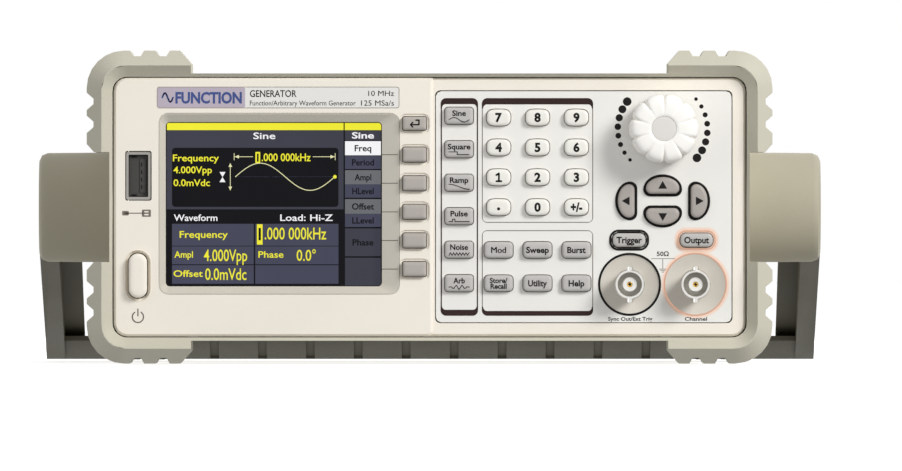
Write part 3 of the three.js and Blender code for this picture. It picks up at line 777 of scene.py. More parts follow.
@dataclass
class Print:
    """Thin print or lit shapes on an upright face, gathered by finish.

    Attributes:
        name: Start of each piece's name.
        depth: Where the face lies.
        body: The body the print rides on.
        slot: The record's material slot.
        proud: How far the first level stands out.
        sink: How far the print goes into the face.
        facing: One for the front face, minus one for a face seen from behind.
        sheets: The mesh gathered so far for each finish.
    """

    name: str
    depth: float
    body: str = BODY
    # slot: The record's material slot; it is not used.
    slot: str = "black_plastic"
    proud: float = 0.03
    sink: float = 0.12
    facing: int = 1
    sheets: dict[str, tuple[Finish, Mesh]] = field(default_factory=dict)

    def sheet(self, finish: Finish) -> Mesh:
        """Give the mesh that gathers one finish."""
        if finish.name not in self.sheets:
            self.sheets[finish.name] = (finish, bmesh.new())
        return self.sheets[finish.name][1]

    def span(self, level: int) -> Point:
        """Give the front and back depth of a level."""
        return (self.depth - self.facing * self.proud * (level + 1), self.depth + self.facing * self.sink)

    def bar(self, finish: Finish, x: Point, z: Point, level: int = 0, radius: float = 0.0) -> None:
        """Add a filled rectangle.

        Args:
            finish: Its finish.
            x: Left and right.
            z: Bottom and top.
            level: Higher levels lie over lower ones.
            radius: Corner radius.
        """
        front, back = self.span(level)
        outline = Outline(sum(x) / 2, sum(z) / 2, x[1] - x[0], z[1] - z[0], max(radius, 0.02), steps=4)
        loft(self.sheet(finish), [(outline, front), (outline, back)])

    def band(self, finish: Finish, outer: Outline, inner: Outline, level: int = 0) -> None:
        """Add the area between two outlines.

        Args:
            finish: Its finish.
            outer: The outer outline.
            inner: The inner outline.
            level: Higher levels lie over lower ones.
        """
        front, back = self.span(level)
        rings = [(outer, back), (outer, front), (inner, front), (inner, back)]
        loft(self.sheet(finish), rings, closed=True)

    def disc(self, finish: Finish, x: float, z: float, radius: float, level: int = 0) -> None:
        """Add a filled circle.

        Args:
            finish: Its finish.
            x: Centre across.
            z: Centre height.
            radius: Its radius.
            level: Higher levels lie over lower ones.
        """
        front, back = self.span(level)
        turn(self.sheet(finish), [(0.0, front), (radius, front), (radius, back), (0.0, back)], x, z,
             steps=28, closed=False)

    def line(self, finish: Finish, points: Sequence[Point], width: float, level: int = 0) -> None:
        """Add a stroke with round joints.

        Args:
            finish: Its finish.
            points: Places along it.
            width: Its width.
            level: Higher levels lie over lower ones.
        """
        front, back = self.span(level)
        bm = self.sheet(finish)
        for (x0, z0), (x1, z1) in zip(points, points[1:]):
            length = math.hypot(x1 - x0, z1 - z0)
            turned = Matrix.Rotation(-math.atan2(z1 - z0, x1 - x0), 4, "Y")
            scale = Vector((length, abs(back - front), width)) * MM
            middle = place((x0 + x1) / 2, (front + back) / 2, (z0 + z1) / 2)
            bmesh.ops.create_cube(bm, size=1.0, matrix=Matrix.Translation(middle) @ turned
                                  @ Matrix.Diagonal(scale).to_4x4())
        for x, z in points:
            start, end = place(x, front, z), place(x, back, z)
            rod(bm, start, end, width / 2, segments=10)

    def shape(self, finish: Finish, corners: Sequence[Point], level: int = 0) -> None:
        """Add a filled polygon.

        Args:
            finish: Its finish.
            corners: Its corners in order.
            level: Higher levels lie over lower ones.
        """
        front, back = self.span(level)
        part = bmesh.new()
        face = part.faces.new([part.verts.new(place(x, front, z)) for x, z in corners])
        grown = bmesh.ops.extrude_face_region(part, geom=[face])["geom"]
        verts = [item for item in grown if isinstance(item, bmesh.types.BMVert)]
        bmesh.ops.translate(part, verts=verts, vec=(0.0, (back - front) * MM, 0.0))
        if not face.is_valid:
            bmesh.ops.holes_fill(part, edges=part.edges, sides=0)
        bmesh.ops.recalc_face_normals(part, faces=part.faces)
        join(self.sheet(finish), part)

    def text(self, finish: Finish, words: str, x: float, z: float, height: float, width: float = 0.0,
             align: Align = Align.CENTRE, weight: float = 0.0, level: int = 0) -> None:
        """Add a word whose capitals have the given height.

        Args:
            finish: Its finish.
            words: The letters.
            x: Where it is set across.
            z: Middle height of its capitals.
            height: Height of its capitals.
            width: Width to fit, if it is fixed.
            align: Which part of the word sits at x.
            weight: Extra stroke thickness, as a share of the letter size.
            level: Higher levels lie over lower ones.
        """
        mesh = lettering(words, weight)
        across = [vert.co.x for vert in mesh.vertices]
        stretch = height / CAPITAL
        wide = width / (max(across) - min(across)) if width > 0 else stretch
        anchor = {Align.LEFT: min(across), Align.CENTRE: (min(across) + max(across)) / 2,
                  Align.RIGHT: max(across)}[align]
        front, back = self.span(level)
        part = bmesh.new()
        part.from_mesh(mesh)
        bpy.data.meshes.remove(mesh)
        thick = abs(back - front)
        bmesh.ops.translate(part, verts=part.verts, vec=(-anchor, -CAPITAL / 2, 0.0))
        bmesh.ops.scale(part, verts=part.verts, vec=(wide * MM * self.facing, stretch * MM, thick * MM))
        middle = place(x, (front + back) / 2, z)
        upright = Matrix.Rotation(math.pi / 2, 4, "X")
        bmesh.ops.transform(part, matrix=Matrix.Translation(middle) @ upright, verts=part.verts)
        bmesh.ops.recalc_face_normals(part, faces=part.faces)
        join(self.sheet(finish), part)

    def make(self) -> None:
        """Turn each gathered finish into a piece."""
        for finish, bm in self.sheets.values():
            new_piece(f"{self.name}_{finish.name}", bm, finish, self.body, crease=30.0)
        self.sheets.clear()


def lettering(words: str, weight: float) -> bpy.types.Mesh:
    """Make letters one unit tall and one unit thick.

    Args:
        words: The letters.
        weight: Extra stroke thickness.

    Returns:
        Their mesh, flat on X and Y.
    """
    curve = bpy.data.curves.new("lettering", "FONT")
    curve.body = words
    curve.extrude = 0.5
    curve.offset = weight
    curve.resolution_u = 3
    curve.space_line = 0.9
    curve.align_x = "CENTER"
    holder = bpy.data.objects.new("lettering", curve)
    bpy.context.scene.collection.objects.link(holder)
    graph = bpy.context.evaluated_depsgraph_get()
    mesh = bpy.data.meshes.new_from_object(holder.evaluated_get(graph))
    bpy.data.objects.remove(holder)
    bpy.data.curves.remove(curve)
    return mesh


# ---- front shell ---------------------------------------------------------------------------


@dataclass
class FrontShell:
    """The ivory bezel and the keypad plate with everything printed on them.

    Attributes:
        badge: Left, right, bottom and top of the name strip.
        badge_split: Where the strip's tinted end stops.
        power: Centre of the power button.
        port: Centre of the front socket.
        bezel_cuts: Where the bezel's faces are divided, one through each of its holes.
        panel_cuts: Where the plate's faces are divided.
    """

    badge: tuple[float, float, float, float] = (-91.0, -10.3, 85.6, 92.4)
    badge_split: float = -61.7
    power: Point = (-97.55, 29.4)
    port: Point = (-97.4, 62.8)
    bezel_cuts: tuple[float, ...] = (-97.5, -51.2, -5.05, 51.0)
    panel_cuts: tuple[float, ...] = (9.87, 23.08, 36.1, 49.12, 65.9, 77.96, 90.1)

    def build(self) -> None:
        """Build the shell's own pieces."""
        new_piece("bezel_shell", softened("front_bezel", 0.28, across=self.bezel_cuts), IVORY, BODY,
                  stands_for=("front_bezel",))
        new_piece("keypad_plate", softened("keypad_panel", 0.2, across=self.panel_cuts), PANEL, BODY,
                  stands_for=("keypad_panel",))
        self._socket()

    def dress(self) -> None:
        """Print the strip, the symbols and the panel's legends."""
        self._badge()
        self._symbols()
        self._legends()

    def _badge(self) -> None:
        """Lay the name strip with its plain words."""
        left, right, bottom, top = self.badge
        strip = Print("badge", 0.0, slot="panel_plastic", proud=0.04)
        whole = Outline((left + right) / 2, (bottom + top) / 2, right - left, top - bottom, 0.7)
        strip.band(PALE_INK, whole.grown(0.25), whole.grown(-0.05))
        strip.bar(BADGE, (left, self.badge_split), (bottom, top), radius=0.6)
        strip.bar(BADGE_PALE, (self.badge_split, right), (bottom, top), radius=0.6)
        strip.text(BADGE_BLUE, "FUNCTION", left + 17.1, (bottom + top) / 2 - 0.1, 3.5, width=22.2,
                   weight=0.035, level=1)
        middle = (bottom + top) / 2
        wave = [(left + 1.6 + 0.2 * i, middle + 1.5 * math.sin(i * math.pi / 9)) for i in range(19)]
        strip.line(BADGE_BLUE, wave, 0.55, level=1)
        strip.text(INK, "GENERATOR", self.badge_split + 1.6, 90.3, 2.2, width=15.6, align=Align.LEFT,
                   weight=0.01, level=1)
        strip.text(INK, "Function/Arbitrary Waveform Generator", self.badge_split + 1.6, 87.15, 1.6,
                   width=35.4, align=Align.LEFT, level=1)
        strip.text(INK, "10 MHz", right - 1.6, 90.4, 1.75, width=8.6, align=Align.RIGHT, level=1)
        strip.text(INK, "125 MSa/s", right - 1.6, 87.15, 1.75, width=11.0, align=Align.RIGHT, level=1)
        strip.make()

    def _symbols(self) -> None:
        """Print the standby mark and the socket mark."""
        marks = Print("front_mark", 0.0, slot="black_plastic")
        x, z = self.power[0], 15.6
        arc = [(x + 1.9 * math.sin(a), z + 1.9 * math.cos(a)) for a in
               [math.radians(35 + 29 * i) for i in range(11)]]
        marks.line(GREY_INK, arc, 0.42)
        marks.line(GREY_INK, [(x, z + 0.4), (x, z + 2.6)], 0.42)
        x, z = self.port[0], 50.3
        marks.line(GREY_INK, [(x - 4.6, z), (x + 1.6, z)], 0.34)
        marks.bar(GREY_INK, (x - 5.4, x - 3.2), (z - 0.75, z + 0.75), radius=0.3)
        marks.bar(GREY_INK, (x + 1.2, x + 4.2), (z - 1.2, z + 1.2), radius=0.3)
        marks.bar(IVORY, (x + 2.0, x + 3.4), (z + 0.25, z + 0.7), level=1)
        marks.bar(IVORY, (x + 2.0, x + 3.4), (z - 0.7, z - 0.25), level=1)
        marks.make()

    def _legends(self) -> None:
        """Print the group frames, the dial dots and the jack captions."""
        art = Print("panel_print", PANEL_FRONT, slot="black_plastic")
        groups = (
            ((3.7, 16.2), (16.0, 88.8), 0.42, 2.0, 2.0, BROWN_INK),
            ((17.5, 54.7), (47.1, 88.8), 0.28, 0.28, 2.1, GREY_INK),
            ((17.5, 54.7), (16.0, 44.6), 0.28, 1.6, 0.28, GREY_INK),
        )
        for x, z, side, bottom, top, finish in groups:
            outer = Outline(sum(x) / 2, sum(z) / 2, x[1] - x[0], z[1] - z[0], 1.8)
            inner = Outline(outer.x, outer.z + (bottom - top) / 2, outer.width - 2 * side,
                            outer.height - bottom - top, 1.3)
            art.band(finish, outer, inner)
            for band, edge in ((top, z[1]), (bottom, z[0])):
                if band > 1:
                    self._heavy_edge(art, outer, band, edge)
        self._dots(art)
        self._captions(art)
        art.make()

    def _heavy_edge(self, art: Print, outer: Outline, band: float, edge: float) -> None:
        """Thicken one end of a group frame, its corners rounded outside and in.

        Args:
            art: The print to add to.
            outer: The frame's outer outline.
            band: The end's thickness.
            edge: Height of the frame's end.
        """
        inward = -1.0 if edge > outer.z else 1.0
        left, right = outer.x - outer.width / 2, outer.x + outer.width / 2
        quarter = [math.pi / 2 * step / 6 for step in range(7)]
        bend, side, throat, fall = 1.8, 0.42, 1.2, 1.4
        foot = edge + inward * (band + fall)
        corners = [(left + bend - bend * math.cos(a), edge + inward * (bend - bend * math.sin(a)))
                   for a in quarter]
        corners += [(right - bend + bend * math.sin(a), edge + inward * (bend - bend * math.cos(a)))
                    for a in quarter]
        corners.append((right, foot))
        corners += [(right - side - throat + throat * math.cos(a), foot - inward * fall * math.sin(a))
                    for a in quarter]
        corners += [(left + side + throat - throat * math.sin(a), foot - inward * fall * math.cos(a))
                    for a in quarter]
        corners.append((left, foot))
        art.shape(BROWN_INK, corners, level=1)

    def _dots(self, art: Print) -> None:
        """Print the two runs of dots round the dial, each growing with the way it turns."""
        x, z, reach = 77.95, 78.45, 15.0
        smallest, growth, count = 0.6, 0.85, 8
        for first, last, small_first in ((142.2, 223.4, False), (41.9, -40.0, True)):
            for step in range(count):
                share = step / (count - 1)
                angle = math.radians(first + (last - first) * share)
                grow = share if small_first else 1 - share
                art.disc(INK, x + reach * math.cos(angle), z + reach * math.sin(angle),
                         smallest + growth * grow)

    def _captions(self, art: Print) -> None:
        """Print the words and the impedance mark by the jacks."""
        art.text(INK, "Sync Out/Ext Trig", SYNC_X + 0.2, 14.95, 1.2, width=14.8, weight=0.02)
        art.text(INK, "Channel", CHANNEL_X + 0.2, 14.95, 1.2, width=7.4, weight=0.02)
        art.text(INK, "50Ω", 78.0, 36.7, 1.4, width=4.0, weight=0.02)
        art.line(GREY_INK, [(74.2, 35.1), (82.0, 35.1)], 0.18)
        art.line(GREY_INK, [(78.0, 35.1), (78.0, 31.6)], 0.2)
        for step, half in enumerate((1.1, 0.7, 0.3)):
            art.line(GREY_INK, [(78.0 - half, 31.6 - 0.5 * step), (78.0 + half, 31.6 - 0.5 * step)], 0.2)

    def _socket(self) -> None:
        """Build the contact tongue and the springs inside the front socket, and line the shell with dark grey
        as painted shade.
        """
        x, z = self.port
        tongue = bmesh.new()
        block(tongue, (x + 0.5, x + 2.6), (2.2, 16.0), (z - 5.7, z + 5.7), soft=0.15)
        block(tongue, (x - 3.1, x + 3.1), (2.6, 17.2), (z - 6.9, z + 6.9), soft=0.15)
        new_piece("port_tongue", tongue, PORT_GREY, BODY)
        pads = bmesh.new()
        for step in range(4):
            at = z - 3.75 + 2.5 * step
            block(pads, (x + 0.9, x + 1.25), (2.1, 12.0), (at - 0.65, at + 0.65), soft=0.05, segments=1)
        for side in (-1, 1):
            at = z + side * 6.4
            block(pads, (x - 2.3, x - 0.5), (2.3, 3.0), (at - 0.22, at + 0.22), soft=0.05, segments=1)
        new_piece("port_contacts", pads, RIM, BODY)
        # dark grey lining inside the steel shell: painted shade in the socket's opening
        outer, inner = Outline(x, z, 6.5, 14.3, 0.35), Outline(x, z, 6.2, 14.0, 0.3)
        lofted_piece("port_lining", [(outer, 2.0), (outer, 17.3), (inner, 17.3), (inner, 2.0)], PORT_GREY)


@dataclass
class ScreenHood:
    """The sloped frame that falls from the bezel to the display, coloured darker than the bezel as painted
    shade.

    Attributes:
        outer: Outline where it meets the bezel's face.
        inner: Outline round the display.
        depth: How deep it falls.
        guides: Heights of the lines that lead to the soft keys.
    """

    outer: Outline = Outline(-50.3, 53.45, 80.5, 60.6, 3.15)
    inner: Outline = Outline(-52.15, 53.3, 72.1, 54.8, 1.3)
    depth: float = 2.34
    guides: tuple[float, ...] = (69.9, 60.33, 50.76, 41.19, 31.62)

    def build(self) -> None:
        """Build the slope and its guide lines."""
        lip = self.outer.grown(-0.35)
        rings = [(self.outer, 0.3), (self.outer.grown(-0.12), 0.12), (lip, 0.12),
                 (self.inner, self.depth - 0.3), (self.inner, self.depth + 0.04),
                 (self.outer, self.depth + 0.04)]
        lofted_piece("screen_hood", rings, SHADED_HOOD, crease=28.0)
        outer, inner = self.inner.grown(0.16), self.inner.grown(-0.1)
        rings = [(outer, self.depth - 0.38), (inner, self.depth - 0.34), (inner, self.depth + 0.03),
                 (outer, self.depth + 0.03)]
        lofted_piece("screen_edge", rings, RIM, crease=28.0)
        lines = bmesh.new()
        for z in self.guides:
            rod(lines, place(-15.9, self.depth - 0.36, z), place(-10.6, 0.2, z), 0.13, segments=8)
        new_piece("soft_key_guides", lines, GREY_INK, BODY)


@dataclass
class Display:
    """The glass and the lit picture behind it.

    Attributes:
        left: The picture's left edge.
        bottom: The picture's bottom edge.
        depth: Where the glass's front lies.
        art: The picture's shapes, gathered as they are laid.
    """

    left: float = -88.2
    bottom: float = 25.9
    depth: float = 4.5
    art: Print = field(init=False)

    def build(self) -> None:
        """Build the picture in layers just ahead of the glass."""
        dress("display_window", GLASS)
        dress("display_module", TIN)
        self.art = Print("picture", self.depth, slot="display_frame", proud=0.04, sink=0.02)
        self._fields()
        self._menu()
        self._plot()
        self._readings()
        self.art.make()

    def bar(self, finish: Finish, x0: float, x1: float, z0: float, z1: float, level: int = 1,
            radius: float = 0.0) -> None:
        """Add a field, measured from the picture's lower left corner.

        Args:
            finish: Its colour.
            x0: Left.
            x1: Right.
            z0: Bottom.
            z1: Top.
            level: Its layer.
            radius: Corner radius.
        """
        self.art.bar(finish, (self.left + x0, self.left + x1), (self.bottom + z0, self.bottom + z1),
                     level, radius)

    def word(self, finish: Finish, words: str, x: float, z: float, height: float, width: float,
             weight: float = 0.012, level: int = 3) -> None:
        """Add a centred word, measured from the picture's lower left corner.

        Args:
            finish: Its colour.
            words: The letters.
            x: Centre across.
            z: Middle height.
            height: Height of capitals.
            width: Width of the word.
            weight: Extra stroke thickness.
            level: Its layer.
        """
        self.art.text(finish, words, self.left + x, self.bottom + z, height, width, Align.CENTRE, weight,
                      level)

    def _fields(self) -> None:
        """Lay the large fields."""
        self.bar(LIT_BLACK, 0.0, 72.1, 0.0, 54.8, level=0)
        self.bar(LIT_YELLOW, 0.3, 59.4, 52.2, 54.6)
        self.bar(LIT_YELLOW, 59.8, 72.0, 52.2, 54.6)
        self.bar(LIT_DUSK, 0.2, 59.4, 25.7, 52.1)
        self.bar(LIT_BLACK, 2.0, 57.7, 26.5, 46.3, level=2, radius=1.1)
        for low, high in ((13.5, 20.85), (7.3, 13.3), (0.8, 7.0)):
            self.bar(LIT_SLATE, 2.0, 29.35, low, high)
            self.bar(LIT_SLATE, 29.85, 57.7, low, high)
        self.word(LIT_WHITE, "Sine", 32.9, 50.3, 2.1, 7.4)
        self.word(LIT_WHITE, "Waveform", 9.9, 22.9, 2.1, 14.6)
        self.word(LIT_WHITE, "Load: Hi-Z", 47.0, 22.9, 2.1, 17.6)

    def _menu(self) -> None:
        """Lay the column of soft key names."""
        cells = (
            ("Sine", LIT_DUSK, LIT_WHITE, 48.8, 52.1, 7.4),
            ("Freq", LIT_WHITE, LIT_BLACK, 43.8, 48.5, 5.6),
            ("Period", LIT_SLATE, LIT_BLACK, 39.2, 43.6, 7.4),
            ("Ampl", LIT_GREY, LIT_BLACK, 34.05, 38.8, 5.6),
            ("HLevel", LIT_SLATE, LIT_BLACK, 29.6, 34.0, 7.2),
            ("Offset", LIT_GREY, LIT_BLACK, 24.2, 29.1, 7.4),
            ("LLevel", LIT_SLATE, LIT_BLACK, 19.8, 24.15, 7.2),
            ("Phase", LIT_DUSK, LIT_BLACK, 10.0, 19.3, 7.0),
        )
        for words, back, front, low, high, width in cells:
            self.bar(back, 59.9, 71.9, low, high)
            self.word(front, words, 65.9, (low + high) / 2, 2.0, width, weight=0.022)
        self.bar(LIT_DUSK, 59.9, 71.9, 0.2, 9.5)

    def _plot(self) -> None:
        """Draw the trace, its arrows and the readings beside it."""
        self.word(LIT_YELLOW, "Frequency", 10.0, 42.9, 2.2, 15.4)
        self.word(LIT_YELLOW, "4.000Vpp", 8.9, 38.9, 2.2, 12.9)
        self.word(LIT_YELLOW, "0.0mVdc", 8.6, 34.6, 2.2, 12.2)
        self.bar(LIT_YELLOW, 29.9, 31.5, 41.2, 44.9, level=3)
        self.word(LIT_BLACK, "1", 30.7, 43.0, 2.6, 0.6, level=5)
        self.word(LIT_YELLOW, ".000 000kHz", 40.2, 43.1, 2.5, 16.4)
        x0, x1, middle = self.left + 23.2, self.left + 56.5, self.bottom + 36.6
        trace = [(x0 + (x1 - x0) * i / 48, middle + 4.55 * math.sin(2 * math.pi * i / 48)) for i in range(49)]
        self.art.line(LIT_PALE, trace, 0.26, level=3)
        self.art.line(LIT_SLATE, [(x0, middle), (x1, middle)], 0.14, level=2)
        self.art.disc(LIT_YELLOW, x1, middle, 0.6, level=3)
        across = self.bottom + 43.3
        for stop, end in ((22.8, 29.0), (56.6, 49.2)):
            self.art.line(LIT_PALE, [(self.left + stop, across), (self.left + end, across)], 0.2, level=3)
            self.art.line(LIT_PALE, [(self.left + stop, across - 1.1), (self.left + stop, across + 1.1)],
                          0.2, level=3)
        self._head(23.0, 43.3, 1.0)
        self._head(56.4, 43.3, -1.0)
        upright = self.left + 21.5
        self.art.line(LIT_PALE, [(upright, self.bottom + 32.2), (upright, self.bottom + 41.0)], 0.2, level=3)
        for z, way in ((32.0, 1.0), (41.2, -1.0)):
            self._spike(LIT_PALE, 21.5, z, 0.6, 1.3 * way)
        for way in (1.0, -1.0):
            self._spike(LIT_WHITE, 18.9, 36.5, 1.0, 1.7 * way)

    def _spike(self, finish: Finish, x: float, z: float, half: float, rise: float) -> None:
        """Draw an upright arrow head.

        Args:
            finish: Its colour.
            x: Its tip across.
            z: Its tip's height.
            half: Half its width.
            rise: How far its base lies above the tip, or below it if negative.
        """
        tip = (self.left + x, self.bottom + z)
        base = tip[1] + rise
        self.art.shape(finish, [tip, (tip[0] - half, base), (tip[0] + half, base)], level=3)

    def _head(self, x: float, z: float, way: float) -> None:
        """Draw an arrow head that points left, or right when way is minus one.

        Args:
            x: Its tip across.
            z: Its tip's height.
            way: One for left, minus one for right.
        """
        tip = (self.left + x, self.bottom + z)
        base = tip[0] + 1.4 * way
        self.art.shape(LIT_PALE, [tip, (base, tip[1] + 0.6), (base, tip[1] - 0.6)], level=3)

    def _readings(self) -> None:
        """Set the large readings."""
        self.word(LIT_YELLOW, "Frequency", 12.6, 17.3, 2.2, 16.1)
        self.bar(LIT_YELLOW, 30.4, 32.3, 13.9, 20.7, level=2)
        self.word(LIT_BLACK, "1", 31.35, 17.4, 4.0, 0.8, level=4)
        self.word(LIT_YELLOW, ".000 000kHz", 43.3, 17.6, 3.9, 20.6, weight=0.006)
        fields = (
            ("Ampl", 5.9, 10.6, 2.1, 6.2, 0.012),
            ("4.000Vpp", 19.9, 10.3, 3.8, 14.5, 0.006),
            ("Phase", 35.1, 10.6, 2.1, 8.4, 0.012),
            ("0.0°", 46.9, 10.3, 3.6, 6.4, 0.006),
            ("Offset", 7.4, 4.2, 2.1, 9.8, 0.012),
            ("0.0mVdc", 20.0, 4.0, 3.8, 13.8, 0.006),
        )
        for words, x, z, height, width, weight in fields:
            self.word(LIT_YELLOW, words, x, z, height, width, weight)


# ---- keys ----------------------------------------------------------------------------------


class KeyShape(Enum):
    """The caps' outlines: corner radius, bulge and corner steps."""

    BARREL = (1.9, 0.42, 6)
    OCTAGON = (1.5, 0.12, 3)
    SOFT = (1.3, 0.0, 6)
    CRISP = (0.9, 0.0, 5)
    PILL = (2.1, 0.0, 8)
    DOME = (0.0, 0.0, 6)


@dataclass(frozen=True)
class Dome:
    """An upright outline with one flat side and one arched side.

    Attributes:
        x: Centre across.
        z: Centre height.
        width: Length of the flat side.
        height: Reach from flat side to arch.
        turns: Quarter turns anticlockwise from the arch pointing up.
    """

    x: float
    z: float
    width: float
    height: float
    turns: int

    def grown(self, margin: float) -> "Dome":
        """Give the outline that lies this far outside."""
        return replace(self, width=self.width + 2 * margin, height=self.height + 2 * margin)

    def count(self) -> int:
        """Give the number of points round the outline."""
        return 33

    def points(self) -> list[Point]:
        """Walk round the outline.

        Returns:
            Places as x and z.
        """
        corner = self.height * 0.32
        walk = [(self.width / 2 * math.cos(math.pi * i / 20),
                 -self.height * 0.18 + self.height * 0.68 * math.sin(math.pi * i / 20)) for i in range(21)]
        for side in (-1, 1):
            bend = [(side * (self.width / 2 - corner * (1 - math.cos(a))), -self.height / 2
                     + corner * (1 - math.sin(a))) for a in [math.pi / 2 * i / 5 for i in range(6)]]
            walk += bend if side < 0 else bend[::-1]
        return [(self.x + a, self.z + b) for a, b in quarter_turned(walk, self.turns)]


@dataclass
class Key:
    """One key: its cap, the flange that stops it and what is printed on it.

    Attributes:
        node: The CAD node it stands for.
        shape: Its outline.
        finish: Its finish.
        words: Its legend, one line each.
        height: Height of the legend's capitals.
        width: Width of the longest line, or zero.
        mark: Strokes below the legend, from the cap's centre.
        weight: Extra thickness of the letters.
        lift: How far the legend sits above the middle.
        stroke: Width of the mark's strokes.
    """

    node: str
    shape: KeyShape
    finish: Finish
    words: tuple[str, ...] = ()
    height: float = 2.0
    width: float = 0.0
    mark: tuple[tuple[Point, ...], ...] = ()
    weight: float = 0.022
    lift: float = 0.0
    stroke: float = 0.28

    def flange(self) -> float:
        """Give how far the flange reaches past the cap."""
        return 1.4 if self.shape is KeyShape.DOME else 0.8

    def outline(self) -> "Outline | Dome":
        """Find the cap's outline from its CAD node.

        Returns:
            The outline at rest.
        """
        low, high = size_of(self.node)
        margin = self.flange()
        x, z = (low.x + high.x) / 2, (low.z + high.z) / 2
        width, height = high.x - low.x - 2 * margin, high.z - low.z - 2 * margin
        if self.shape is KeyShape.DOME:
            turns = {"up": 0, "left": 1, "down": 2, "right": 3}[self.node.rsplit("_", 1)[1]]
            return Dome(x, z, max(width, height), min(width, height), turns)
        radius, bulge, steps = self.shape.value
        return Outline(x, z, width, height, radius, bulge, steps)

    def build(self) -> None:
        """Build the cap with its crowned face, and its flange."""
        low, high = size_of(self.node)
        edge, front, back = self.outline(), low.y, high.y
        flange = edge.grown(self.flange())
        rings = [(flange, back), (flange, back - 1.2), (edge, back - 1.2), (edge, back - 1.7)]
        if self.shape is not KeyShape.DOME:
            edge = edge.grown(-0.2)
        rings.append((edge, back - 2.0))
        rings.append((edge, front + 1.1))
        for inset, fall in ((0.08, 0.7), (0.28, 0.36), (0.6, 0.16), (1.0, 0.08), (1.6, 0.03)):
            rings.append((edge.grown(-inset), front + fall))
        bm = bmesh.new()
        loft(bm, rings)
        new_piece(f"{self.node}_cap", bm, self.finish, body_of(self.node), stands_for=(self.node,))
        self._print(edge, front)

    def _print(self, edge: "Outline | Dome", front: float) -> None:
        """Print the legend and the mark on the cap.

        Args:
            edge: The cap's outline.
            front: Depth of the cap's face.
        """
        art = Print(f"{self.node}_legend", front + 0.03, body=body_of(self.node), proud=0.03, sink=0.3)
        pitch = self.height * 1.18
        for row, words in enumerate(self.words):
            z = edge.z + self.lift + pitch * ((len(self.words) - 1) / 2 - row)
            width = self.width if row == 0 else 0.0
            # With no extra thickness the word is printed twice, a little apart, which thickens it.
            for nudge in (-0.07, 0.07) if self.weight == 0 else (0.0,):
                art.text(INK, words, edge.x + nudge, z, self.height, width, weight=self.weight)
        for stroke in self.mark:
            art.line(INK, [(edge.x + x, edge.z + z) for x, z in stroke], self.stroke)
        if self.shape is KeyShape.DOME:
            tips = ((0.0, 1.5), (-1.45, -1.1), (1.45, -1.1))
            art.shape(INK, [(edge.x + a, edge.z + b) for a, b in quarter_turned(tips, edge.turns)])
        art.make()


def wave(shape: Callable[[float], float], steps: int = 16) -> tuple[tuple[Point, ...], ...]:
    """Draw one small trace for a key.

    Args:
        shape: Height of the trace for a share of its length.
        steps: Steps along it.

    Returns:
        The stroke.
    """
    return (tuple((-3.4 + 6.8 * i / steps, -1.35 + 0.75 * shape(i / steps)) for i in range(steps + 1)),)


